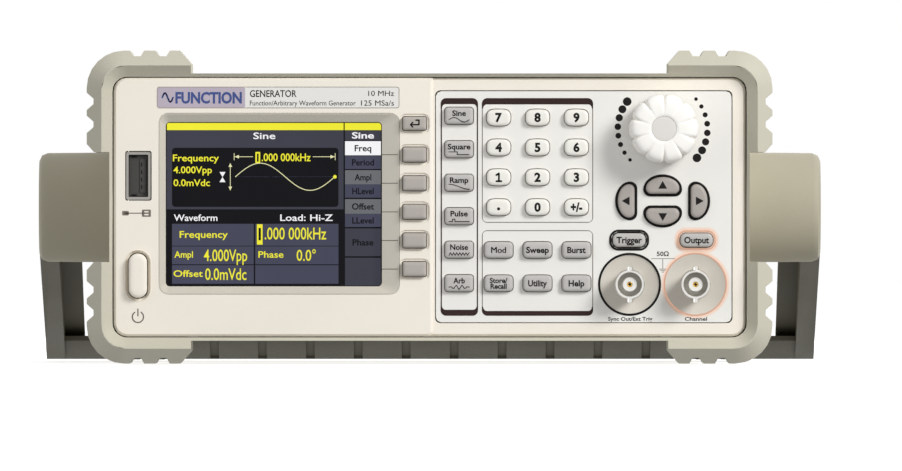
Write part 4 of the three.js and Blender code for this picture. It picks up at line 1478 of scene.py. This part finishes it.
@dataclass
class KeyField:
    """Every key on the front, with the collars and rims round them.

    Attributes:
        digits: Number key nodes' endings with what is printed on them.
    """

    digits: tuple[tuple[str, str], ...] = (
        ("7", "7"), ("8", "8"), ("9", "9"), ("4", "4"), ("5", "5"), ("6", "6"), ("1", "1"), ("2", "2"),
        ("3", "3"), ("point", "."), ("0", "0"), ("sign", "+/-"))

    def build(self) -> None:
        """Build the keys, then the collars and rims that surround them."""
        keys = self._number_keys() + self._wave_keys() + self._function_keys() + self._bezel_keys()
        for side in ("up", "left", "down", "right"):
            keys.append(Key(f"arrow_key_{side}", KeyShape.DOME, KEY_DUSK))
        keys.append(Key("trigger_key", KeyShape.PILL, KEY_GREY, ("Trigger",), 2.0, 8.5, weight=0.03))
        keys.append(Key("output_key", KeyShape.PILL, KEY_GREY, ("Output",), 2.0, 8.3, weight=0.03))
        for key in keys:
            key.build()
        self._collars(keys)
        self._rims(keys)

    def _number_keys(self) -> list[Key]:
        """List the number keys."""
        flag = (((-0.75, 0.75), (0.1, 1.3)), ((0.1, 1.3), (0.1, -1.3)), ((-0.7, -1.3), (0.9, -1.3)))
        made = []
        for ending, words in self.digits:
            point, one = ending == "point", ending == "1"
            made.append(Key(f"number_key_{ending}", KeyShape.BARREL, KEY_WHITE, () if one else (words,),
                            3.4 if point else 2.75, 3.9 if ending == "sign" else 0.0, flag if one else (),
                            0.045, 0.9 if point else 0.0, 0.62))
        return made

    def _wave_keys(self) -> list[Key]:
        """List the wave keys."""
        square = (((-3.4, -0.9), (-0.6, -0.9), (-0.6, -1.8), (3.2, -1.8)),)
        pulse = (((-3.4, -1.8), (-2.2, -1.8), (-2.2, -1.0), (-1.4, -1.0), (-1.4, -1.8), (3.4, -1.8)),)
        teeth = tuple((-3.4 + 0.52 * i, -1.0 if i % 2 else -1.9) for i in range(14))
        rows = (
            ("sine", "Sine", 4.6, wave(lambda t: math.sin(2 * math.pi * t))),
            ("square", "Square", 7.6, square),
            ("ramp", "Ramp", 6.2, wave(lambda t: 1.1 * math.cos(math.pi * t))),
            ("pulse", "Pulse", 5.8, pulse),
            ("noise", "Noise", 6.0, (teeth,)),
            ("arbitrary", "Arb", 3.9, wave(lambda t: math.sin(math.pi * t) * math.sin(7 * math.pi * t))),
        )
        return [Key(f"wave_key_{ending}", KeyShape.SOFT, KEY_GREY, (words,), 1.75, width, mark, 0.028, 0.85)
                for ending, words, width, mark in rows]

    def _function_keys(self) -> list[Key]:
        """List the function keys."""
        rows = (
            ("mod", ("Mod",), 2.0, 4.9),
            ("sweep", ("Sweep",), 1.95, 7.6),
            ("burst", ("Burst",), 1.95, 6.2),
            ("store", ("Store/", "Recall"), 1.6, 0.0),
            ("utility", ("Utility",), 1.95, 6.3),
            ("help", ("Help",), 1.95, 5.3),
        )
        return [Key(f"function_key_{ending}", KeyShape.OCTAGON, KEY_GREY, words, height, width,
                    weight=0.0 if ending == "mod" else 0.03)
                for ending, words, height, width in rows]

    def _bezel_keys(self) -> list[Key]:
        """List the keys beside the display."""
        hook = (((0.5, 1.1), (1.5, 1.1), (1.5, -0.4), (-1.3, -0.4)),
                ((-0.6, 0.35), (-1.3, -0.4), (-0.6, -1.15)))
        made = [Key("return_key", KeyShape.CRISP, KEY_TAUPE, mark=hook, stroke=0.5)]
        made += [Key(f"soft_key_{i}", KeyShape.CRISP, KEY_TAUPE) for i in range(1, 6)]
        return made

    def _collars(self, keys: Sequence[Key]) -> None:
        """Line each key's hole with a thin collar, and put a black sleeve behind it that is painted shade in
        the gap round the key.

        Args:
            keys: Every key.
        """
        for wall, depth, finish in (("bezel", 0.5, IVORY), ("panel", PANEL_FRONT, PANEL)):
            collars = Print(f"{wall}_collar", depth, slot=PANEL_SLOTS[wall], proud=0.02, sink=0.5)
            gap_shades = bmesh.new()
            for key in keys:
                on_bezel = key.shape is KeyShape.CRISP
                if key.shape is KeyShape.DOME or on_bezel != (wall == "bezel"):
                    continue
                edge = key.outline()
                if key.node != "trigger_key":
                    collars.band(finish, edge.grown(0.5), edge.grown(0.04))
                # black sleeve behind the hole: painted shade in the gap between cap and wall
                loft(gap_shades, [(edge.grown(0.3), depth + 0.5), (edge.grown(0.06), depth + 0.5),
                               (edge.grown(0.06), depth + 2.4), (edge.grown(0.3), depth + 2.4)], closed=True)
            collars.make()
            new_piece(f"{wall}_sleeves", gap_shades, RIM, BODY)

    def _rims(self, keys: Sequence[Key]) -> None:
        """Build the black bushes round the arrows and the trigger key, and the lamp round the output key.

        Args:
            keys: Every key.
        """
        bushes = bmesh.new()
        for key in keys:
            edge = key.outline()
            if key.shape is KeyShape.DOME:
                rings = [(edge.grown(0.92), 1.6), (edge.grown(0.9), 1.36), (edge.grown(0.3), 1.3),
                         (edge.grown(0.2), 1.5), (edge.grown(0.2), 6.0), (edge.grown(0.88), 6.0)]
                loft(bushes, rings, closed=True)
            if key.node == "trigger_key":
                rings = [(edge.grown(1.05), 1.7), (edge.grown(1.0), 1.34), (edge.grown(0.36), 1.3),
                         (edge.grown(0.3), 1.7)]
                loft(bushes, rings, closed=True)
        new_piece("arrow_rims", bushes, RIM, BODY)
        lamp = Print("output_lamp", PANEL_FRONT, slot="panel_plastic", proud=0.03)
        edge = next(key for key in keys if key.node == "output_key").outline()
        lamp.band(LAMP_ORANGE, edge.grown(0.75), edge.grown(0.3), level=1)
        lamp.make()


@dataclass
class PowerButton:
    """The tall push button in its sunken ring.

    Attributes:
        outline: The cap's outline.
    """

    outline: Outline = Outline(-97.55, 29.4, 6.15, 14.85, 3.07, steps=10)

    def build(self) -> None:
        """Build the crowned cap and the ring round it."""
        low, high = size_of("power_button")
        edge, front, back = self.outline, low.y, high.y
        rings = [(edge.grown(0.6), back), (edge.grown(0.6), back - 1.7), (edge, back - 1.7),
                 (edge, front + 1.3)]
        for inset, fall in ((0.12, 0.8), (0.4, 0.36), (0.8, 0.14), (1.4, 0.04), (2.1, 0.0)):
            rings.append((edge.grown(-inset), front + fall))
        bm = bmesh.new()
        loft(bm, rings)
        new_piece("power_button_cap", bm, IVORY, body_of("power_button"),
                  stands_for=("power_button",))
        rings = [(edge.grown(1.45), 0.06), (edge.grown(1.25), -0.16), (edge.grown(1.02), 0.0),
                 (edge.grown(1.02), 1.3), (edge.grown(1.2), 1.3), (edge.grown(1.45), 0.3)]
        lofted_piece("power_button_ring", rings, IVORY)


# ---- dial and jacks ------------------------------------------------------------------------


@dataclass
class Dial:
    """The scalloped adjusting knob.

    Attributes:
        x: Axis across.
        z: Axis height.
        front: Depth of its face.
        radius: Its outer radius.
        lobes: Number of scallops.
    """

    x: float = 78.3
    z: float = 78.5
    front: float = -13.0
    radius: float = 11.65
    lobes: int = 10

    def build(self) -> None:
        """Build the knob, its disc and the shaft that carries it."""
        f, r = self.front, self.radius
        profile = [(0.0, f + 1.1), (4.15, f + 1.1), (4.16, f + 0.2), (4.3, f + 0.06), (5.4, f + 0.01),
                   (7.2, f + 0.01),
                   (8.8, f + 0.12), (9.9, f + 0.45), (10.7, f + 1.0), (r - 0.4, f + 1.8), (r - 0.1, f + 2.8),
                   (r, f + 4.2), (r, f + 8.0), (r, f + 12.2), (r - 0.25, f + 13.2), (r - 0.8, f + 13.5),
                   (3.4, f + 13.5), (3.4, f + 3.4), (0.0, f + 3.4)]
        bm = bmesh.new()
        turn(bm, profile, self.x, self.z, steps=160, closed=False)
        self._scallop(bm)
        new_piece("dial_knob", bm, KNOB_WHITE, "knob_body", stands_for=("knob",), crease=50.0)
        disc = bmesh.new()
        turn(disc, [(0.0, f + 0.16), (2.6, f + 0.18), (3.95, f + 0.2), (4.1, f + 0.3), (4.1, f + 1.2),
                    (0.0, f + 1.2)], self.x, self.z, steps=48, closed=False)
        new_piece("dial_disc", disc, KNOB_DISC, "knob_body")
        dress("encoder_shaft", NICKEL)
        dress("encoder", TIN)

    def _scallop(self, bm: Mesh) -> None:
        """Press the grooves into the rim and the crown.

        Args:
            bm: The turned knob.
        """
        centre = place(self.x, 0.0, self.z)
        disc, crown = 5.0, 6.2
        for vert in bm.verts:
            across, up = (vert.co.x - centre.x) / MM, (vert.co.z - centre.z) / MM
            reach = math.hypot(across, up)
            if reach < disc:
                continue
            angle = math.atan2(up, across)
            petal = abs(math.sin(self.lobes / 2 * (angle - math.pi / 2)))
            groove = (1 - petal) ** 3
            weight = min((reach - disc) / (self.radius - disc), 1.0)
            shrink = 1 - (0.018 * (1 - petal) + 0.075 * groove) * weight ** 2
            vert.co.x = centre.x + across * shrink * MM
            vert.co.z = centre.z + up * shrink * MM
            depth = vert.co.y / MM - SLAB_FRONT
            if depth < self.front + 3.0 and reach > crown:
                vert.co.y += 1.1 * (1 - petal) ** 5 * min((reach - crown) / 4.0, 1.0) * MM


@dataclass
class Jack:
    """One bayonet jack in its dish.

    Attributes:
        node: The CAD node it stands for.
        x: Axis across.
        z: Axis height.
        trim: Finish of the ring round the dish.
    """

    node: str
    x: float
    trim: Finish
    z: float = BNC_Z

    def build(self) -> None:
        """Build the shell, its lugs, the insulator, the contact, the dish and the ring round it."""
        shell = bmesh.new()
        profile = [(3.95, -8.7), (4.1, -9.0), (4.55, -9.0), (4.8, -8.75), (4.8, -2.6), (4.6, -2.3),
                   (4.6, -0.4), (4.8, -0.1), (4.8, 8.5), (7.4, 8.5), (7.4, 10.0), (5.8, 10.0), (5.8, 19.0),
                   (1.2, 19.0), (1.2, 9.2), (3.95, 9.2)]
        turn(shell, profile, self.x, self.z, steps=72)
        for side in (-1, 1):
            rod(shell, place(self.x, -5.5, self.z + 4.3 * side), place(self.x, -5.5, self.z + 5.8 * side),
                1.05, segments=24)
            rod(shell, place(self.x, -5.5, self.z + 5.8 * side), place(self.x, -5.5, self.z + 6.1 * side),
                1.05, tip=0.8, segments=24)
        new_piece(f"{self.node}_shell", shell, NICKEL, BODY, stands_for=(self.node,))
        filling = [(0.95, -7.2), (2.2, -7.2), (2.4, -7.0), (2.4, -1.5), (3.97, -1.5), (3.97, 9.25),
                   (0.95, 9.25)]
        self._ring("insulator", filling, INSULATOR, 48)
        contact = [(0.5, -6.8), (0.72, -6.95), (0.95, -6.7), (0.95, 22.6), (0.5, 22.9)]
        self._ring("contact", contact, GOLD, 24)
        dish = [(10.4, 1.44), (10.25, 1.42), (5.7, 3.72), (5.12, 3.84), (5.12, 3.97), (5.4, 3.98)]
        # the dish's darker colour is painted shade in the recess round the jack
        self._ring("dish", dish, SHADED_DISH, 96, crease=30.0)
        inner = 9.8 if self.trim is RIM else 10.1
        edge = [(10.55, 1.52), (10.55, 1.4), (10.45, 1.34), (inner + 0.1, 1.34), (inner, 1.42),
                (inner, 1.84), (10.36, 1.54)]
        self._ring("trim", edge, self.trim, 96, crease=30.0)

    def _ring(self, ending: str, profile: Sequence[Point], finish: Finish, steps: int,
              crease: float = 38.0) -> None:
        """Turn one ring-shaped piece round the jack's axis.

        Args:
            ending: End of the piece's name.
            profile: Radius and depth of each corner.
            finish: Its finish.
            steps: Steps round.
            crease: Edges bent by more than this many degrees stay sharp.
        """
        bm = bmesh.new()
        turn(bm, profile, self.x, self.z, steps=steps)
        new_piece(f"{self.node}_{ending}", bm, finish, BODY, crease=crease)


# ---- case, boots and handle ----------------------------------------------------------------


def screw(bm: Mesh, place_at: Vector, way: Vector, radius: float) -> None:
    """Add a low round head with a cross slot, seated on a face.

    Args:
        bm: The mesh to add to.
        place_at: Where it sits, in metres.
        way: The direction that the head faces.
        radius: The head's radius in millimetres.
    """
    part = bmesh.new()
    steps = [(0.0, 0.55), (0.35 * radius, 0.53), (0.75 * radius, 0.42), (0.95 * radius, 0.2), (radius, 0.0),
             (radius, -0.3), (0.0, -0.3)]
    corners = [Vector((reach, 0.0, rise)) * MM for reach, rise in steps]
    spin_round(part, corners, Vector((0.0, 0.0, 0.0)), (0.0, 0.0, 1.0), 24, closed=False)
    turned = way.to_track_quat("Z", "Y").to_matrix().to_4x4()
    bmesh.ops.transform(part, matrix=Matrix.Translation(place_at) @ turned, verts=part.verts)
    join(bm, part)


def cross_slot(bm: Mesh, place_at: Vector, way: Vector, radius: float) -> None:
    """Add a black cross on a screw head, painted shade standing in for the recessed slot.

    Args:
        bm: The mesh to add to.
        place_at: Where the screw sits, in metres.
        way: The direction that the head faces.
        radius: The head's radius in millimetres.
    """
    turned = way.to_track_quat("Z", "Y").to_matrix().to_4x4()
    for long, wide in ((1.1, 0.26), (0.26, 1.1)):
        scale = Vector((long * radius, wide * radius, 0.5)) * MM
        part = bmesh.new()
        bmesh.ops.create_cube(part, size=1.0, matrix=Matrix.Diagonal(scale).to_4x4())
        bmesh.ops.bevel(part, geom=part.edges[:], offset=0.05 * MM, offset_type="OFFSET", segments=1,
                        profile=0.5, affect="EDGES", clamp_overlap=True, material=-1)
        lift = Matrix.Translation(place_at) @ turned @ Matrix.Translation((0.0, 0.0, 0.32 * MM))
        bmesh.ops.transform(part, matrix=lift, verts=part.verts)
        join(bm, part)


@dataclass
class Case:
    """The painted metal case and the back of the instrument.

    Attributes:
        corner_x: Screws' distance from the middle of the rear panel.
        corner_z: Their heights.
        rear: Depth of the rear panel's face.
        inlet: Centre of the mains inlet.
        socket: Centre of the rear data socket.
    """

    corner_x: float = 98.0
    corner_z: Point = (17.5, 87.2)
    rear: float = 258.0
    inlet: Point = (-58.0, 42.0)
    socket: Point = (12.0, 36.0)

    def build(self) -> None:
        """Build the covers, the rear panel and its fittings."""
        for node, across, level in (
            ("top_cover", (0.0,), (HINGE_Z, 73.0)),
            ("bottom_chassis", (-60.0, 0.0, 60.0), (15.0,)),
            ("rear_panel", (0.0,), (36.0, 42.0, 65.0)),
        ):
            new_piece(f"{node}_sheet", softened(node, 0.2, angle=50.0, across=across, level=level), SHEET,
                      BODY, stands_for=(node,), crease=50.0)
        inlet = softened("mains_inlet", 0.3, across=self.inlet[:1], level=self.inlet[1:])
        new_piece("mains_inlet_body", inlet, BLACK, BODY, stands_for=("mains_inlet",))
        dress("usb_device_port", NICKEL)
        dress("usb_host_port", PORT_STEEL)
        for node in ("main_board", "power_supply", "keypad_board"):
            dress(node, GREEN)
        self._pins()
        self._screws()
        self._prints()

    def _pins(self) -> None:
        """Sleeve the inlet's pins in metal and the data socket's tongue in white."""
        x, z = self.inlet
        pins = bmesh.new()
        for dx, dz in ((-7.0, -1.5), (7.0, -1.5), (0.0, 2.5)):
            block(pins, (x + dx - 1.12, x + dx + 1.12), (244.5, 255.8), (z + dz - 2.12, z + dz + 2.12),
                  soft=0.4)
        new_piece("inlet_pins", pins, NICKEL, BODY)
        x, z = self.socket
        tongue = bmesh.new()
        block(tongue, (x - 2.95, x + 2.95), (245.2, 254.9), (z - 1.75, z + 1.75), soft=0.3)
        new_piece("data_tongue", tongue, INSULATOR, BODY)

    def _screws(self) -> None:
        """Build the screws of the rear panel, the inlet and the underside."""
        heads, slots = bmesh.new(), bmesh.new()
        back = Vector((0.0, 1.0, 0.0))
        seats = [(place(side * self.corner_x, self.rear, z), back, 2.4) for side in (-1, 1)
                 for z in self.corner_z]
        seats += [(place(self.inlet[0] + side * 14.6, 261.0, self.inlet[1]), back, 1.1) for side in (-1, 1)]
        down = Vector((0.0, 0.0, -1.0))
        seats += [(place(x, y, 9.05), down, 2.4) for x in (-80.0, 0.0, 80.0) for y in (90.0, 205.0)]
        for at, way, radius in seats:
            screw(heads, at, way, radius)
            cross_slot(slots, at, way, radius)
        new_piece("case_screws", heads, STEEL, BODY)
        # the black crosses are painted shade in the heads' recessed slots
        new_piece("case_screw_slots", slots, BLACK, BODY)

    def _prints(self) -> None:
        """Print the plain marks on the back."""
        art = Print("rear_print", self.rear, slot="black_plastic", facing=-1)
        x, z = self.inlet
        art.line(GREY_INK, [(x - 4.2, z + 19.0), (x + 4.2, z + 19.0)], 0.4)
        tilde = [(x - 3.0 + 0.4 * i, z + 21.6 + 0.8 * math.sin(i * math.pi / 7.5)) for i in range(16)]
        art.line(GREY_INK, tilde, 0.45)
        art.text(GREY_INK, "USB", self.socket[0], self.socket[1] + 10.0, 2.4, weight=0.01)
        outer = Outline(62.0, 65.0, 54.0, 38.0, 3.0)
        art.band(GREY_INK, outer, outer.grown(-0.35))
        art.make()


@dataclass
class Boots:
    """The soft rubber boots that carry the instrument."""

    def build(self) -> None:
        """Round the boots' edges and dress them."""
        for node in ("front_boot", "rear_boot"):
            rubber = softened(node, 0.75, segments=3, angle=38.0, across=(0.0,), level=(HINGE_Z,))
            new_piece(f"{node}_rubber", rubber, BOOT, BODY, stands_for=(node,), crease=40.0)


@dataclass
class Handle:
    """The swing handle: drums, arms and grip bar.

    Attributes:
        axis: Depth and height of the hinge line.
        drum: The drums' radius.
        outer: The drums' outer faces.
    """

    axis: Point = (92.0, HINGE_Z)
    drum: float = 18.6
    outer: float = 132.1

    def build(self) -> None:
        """Build the handle with its drums in their own colour and its arms and grip bar darker as painted
        shade, and dress the hubs it turns on.
        """
        bm = softened("handle", 0.7, segments=3, angle=35.0)
        self._groove(bm)
        # faces beyond the drums take the darker finish, painted shade on the arms and grip bar
        for face in bm.faces:
            reach = max(self._reach(vert.co) for vert in face.verts)
            face.material_index = 0 if reach < self.drum + 0.35 else 1
        piece = new_piece("handle_moulding", bm, HUB, "handle_body", stands_for=("handle",),
                          crease=40.0)
        piece.data.materials.append(SHADED_ARM.material())
        for node in ("left_hub", "right_hub"):
            dress(node, BLACK)

    def _reach(self, spot: Vector) -> float:
        """Give a place's distance from the hinge line in millimetres."""
        return math.hypot(spot.y / MM - SLAB_FRONT - self.axis[0], spot.z / MM - self.axis[1])

    def _groove(self, bm: Mesh) -> None:
        """Press a ring groove into the outer face of each drum.

        Args:
            bm: The handle's mesh.
        """
        same_plane, smallest = 2e-5, 3e-4
        for side in (-1, 1):
            at = side * self.outer * MM
            flat = [face for face in bm.faces if abs(face.calc_center_median().x - at) < same_plane
                    and face.calc_area() > smallest]
            for face in flat:
                for thickness, depth in ((4.0, 0.0), (0.25, -0.5), (0.7, 0.0), (0.25, 0.5)):
                    bmesh.ops.inset_individual(bm, faces=[face], thickness=thickness * MM, depth=depth * MM,
                                               use_even_offset=True)


# ---- studio --------------------------------------------------------------------------------


@dataclass
class Studio:
    """Camera, lights and floor.

    Attributes:
        away: Distance from the camera to the display slab in metres.
        span: Width of the view at the slab in metres.
        aim: Centre of the view across and up in metres.
    """

    away: float = 7.5418
    span: float = 0.30167
    aim: Point = (0.00716, 0.04284)

    def build(self) -> None:
        """Set up everything that isn't the object."""
        self._camera()
        self._floor()
        self._light("key", (1.15, -1.3, 0.9), 0.6, 25.0)
        self._light("fill", (-1.5, -1.3, 0.5), 1.2, 5.5)
        self._light("top", (0.25, 0.15, 1.5), 0.9, 2.0)
        self._light("back", (0.6, 1.6, 0.8), 1.2, 9.0)
        self._world()
        bpy.context.scene.view_settings.view_transform = "Standard"

    def _camera(self) -> None:
        """Stand a long lens level in front of the slab."""
        data = bpy.data.cameras.new("camera")
        data.sensor_width = 36.0
        data.lens = 36.0 * self.away / self.span
        data.clip_start = 0.05
        data.clip_end = 60.0
        camera = bpy.data.objects.new("camera", data)
        bpy.context.scene.collection.objects.link(camera)
        camera.location = (self.aim[0], SLAB_FRONT * MM - self.away, self.aim[1])
        camera.rotation_euler = (math.pi / 2, 0.0, 0.0)
        bpy.context.scene.camera = camera

    def _light(self, name: str, at: tuple[float, float, float], size: float, power: float) -> None:
        """Hang one soft square light, aimed at the instrument.

        Args:
            name: Its name.
            at: Its place in metres.
            size: Its side in metres.
            power: Its power in watts.
        """
        data = bpy.data.lights.new(name, "AREA")
        data.shape = "SQUARE"
        data.size = size
        data.energy = power
        light = bpy.data.objects.new(name, data)
        bpy.context.scene.collection.objects.link(light)
        light.location = at
        aim = Vector((0.0, -0.06, 0.05)) - Vector(at)
        light.rotation_euler = aim.to_track_quat("-Z", "Y").to_euler()

    def _floor(self) -> None:
        """Lay the pale floor."""
        bm = bmesh.new()
        bmesh.ops.create_grid(bm, x_segments=2, y_segments=2, size=12.0)
        bmesh.ops.translate(bm, verts=bm.verts, vec=(0.0, 0.0, -0.0004))
        mesh = bpy.data.meshes.new("floor")
        bm.to_mesh(mesh)
        bm.free()
        floor = bpy.data.objects.new("floor", mesh)
        bpy.context.scene.collection.objects.link(floor)
        pale = Finish("floor_paint", (250, 250, 250), roughness=0.9, grain=40.0, relief=0.0, mottle=0.004)
        paint = pale.material()
        shader = paint.node_tree.nodes["Principled BSDF"]
        shader.inputs["Emission Color"].default_value = WHITE_LIGHT
        shader.inputs["Emission Strength"].default_value = 0.62
        self._see_through_below(paint)
        mesh.materials.append(paint)
        floor.visible_diffuse = False
        floor.visible_glossy = False

    def _see_through_below(self, paint: bpy.types.Material) -> None:
        """Let the floor be seen only from above, so that the underside can be looked at.

        Args:
            paint: The floor's material.
        """
        tree = paint.node_tree
        side = add_node(tree, "NewGeometry", {}).outputs["Backfacing"]
        shown = tree.nodes["Principled BSDF"].outputs["BSDF"]
        clear = add_node(tree, "BsdfTransparent", {}).outputs["BSDF"]
        mix = add_node(tree, "MixShader", {0: side, 1: shown, 2: clear})
        feed(tree, tree.nodes["Material Output"], {"Surface": mix.outputs["Shader"]})

    def _world(self) -> None:
        """Surround everything with white, dimmer as a lamp than as a backdrop."""
        world = bpy.data.worlds.new("surround")
        world.use_nodes = True
        bpy.context.scene.world = world
        tree = world.node_tree
        lamp = tree.nodes["Background"]
        feed(tree, lamp, {"Color": (0.97, 0.98, 1.0, 1.0), "Strength": 0.42})
        backdrop = add_node(tree, "Background", {"Color": WHITE_LIGHT, "Strength": 1.0})
        path = add_node(tree, "LightPath", {})
        seen = add_node(tree, "Math", {0: path.outputs["Is Camera Ray"], 1: path.outputs["Is Glossy Ray"]},
                        operation="MAXIMUM")
        mix = add_node(tree, "MixShader", {"Fac": seen.outputs["Value"], 1: lamp.outputs["Background"],
                                           2: backdrop.outputs["Background"]})
        feed(tree, tree.nodes["World Output"], {"Surface": mix.outputs["Shader"]})


def main() -> None:
    """Build the studio, then each sub-assembly in turn."""
    logging.basicConfig(level=logging.INFO, format="%(name)s: %(message)s")
    Studio().build()
    shell = FrontShell()
    shell.build()
    shell.dress()
    ScreenHood().build()
    Display().build()
    KeyField().build()
    PowerButton().build()
    Dial().build()
    Jack("bnc_sync", SYNC_X, RIM).build()
    Jack("bnc_channel", CHANNEL_X, LAMP_ORANGE).build()
    Case().build()
    Boots().build()
    Handle().build()


if __name__ == "__main__":
    main()
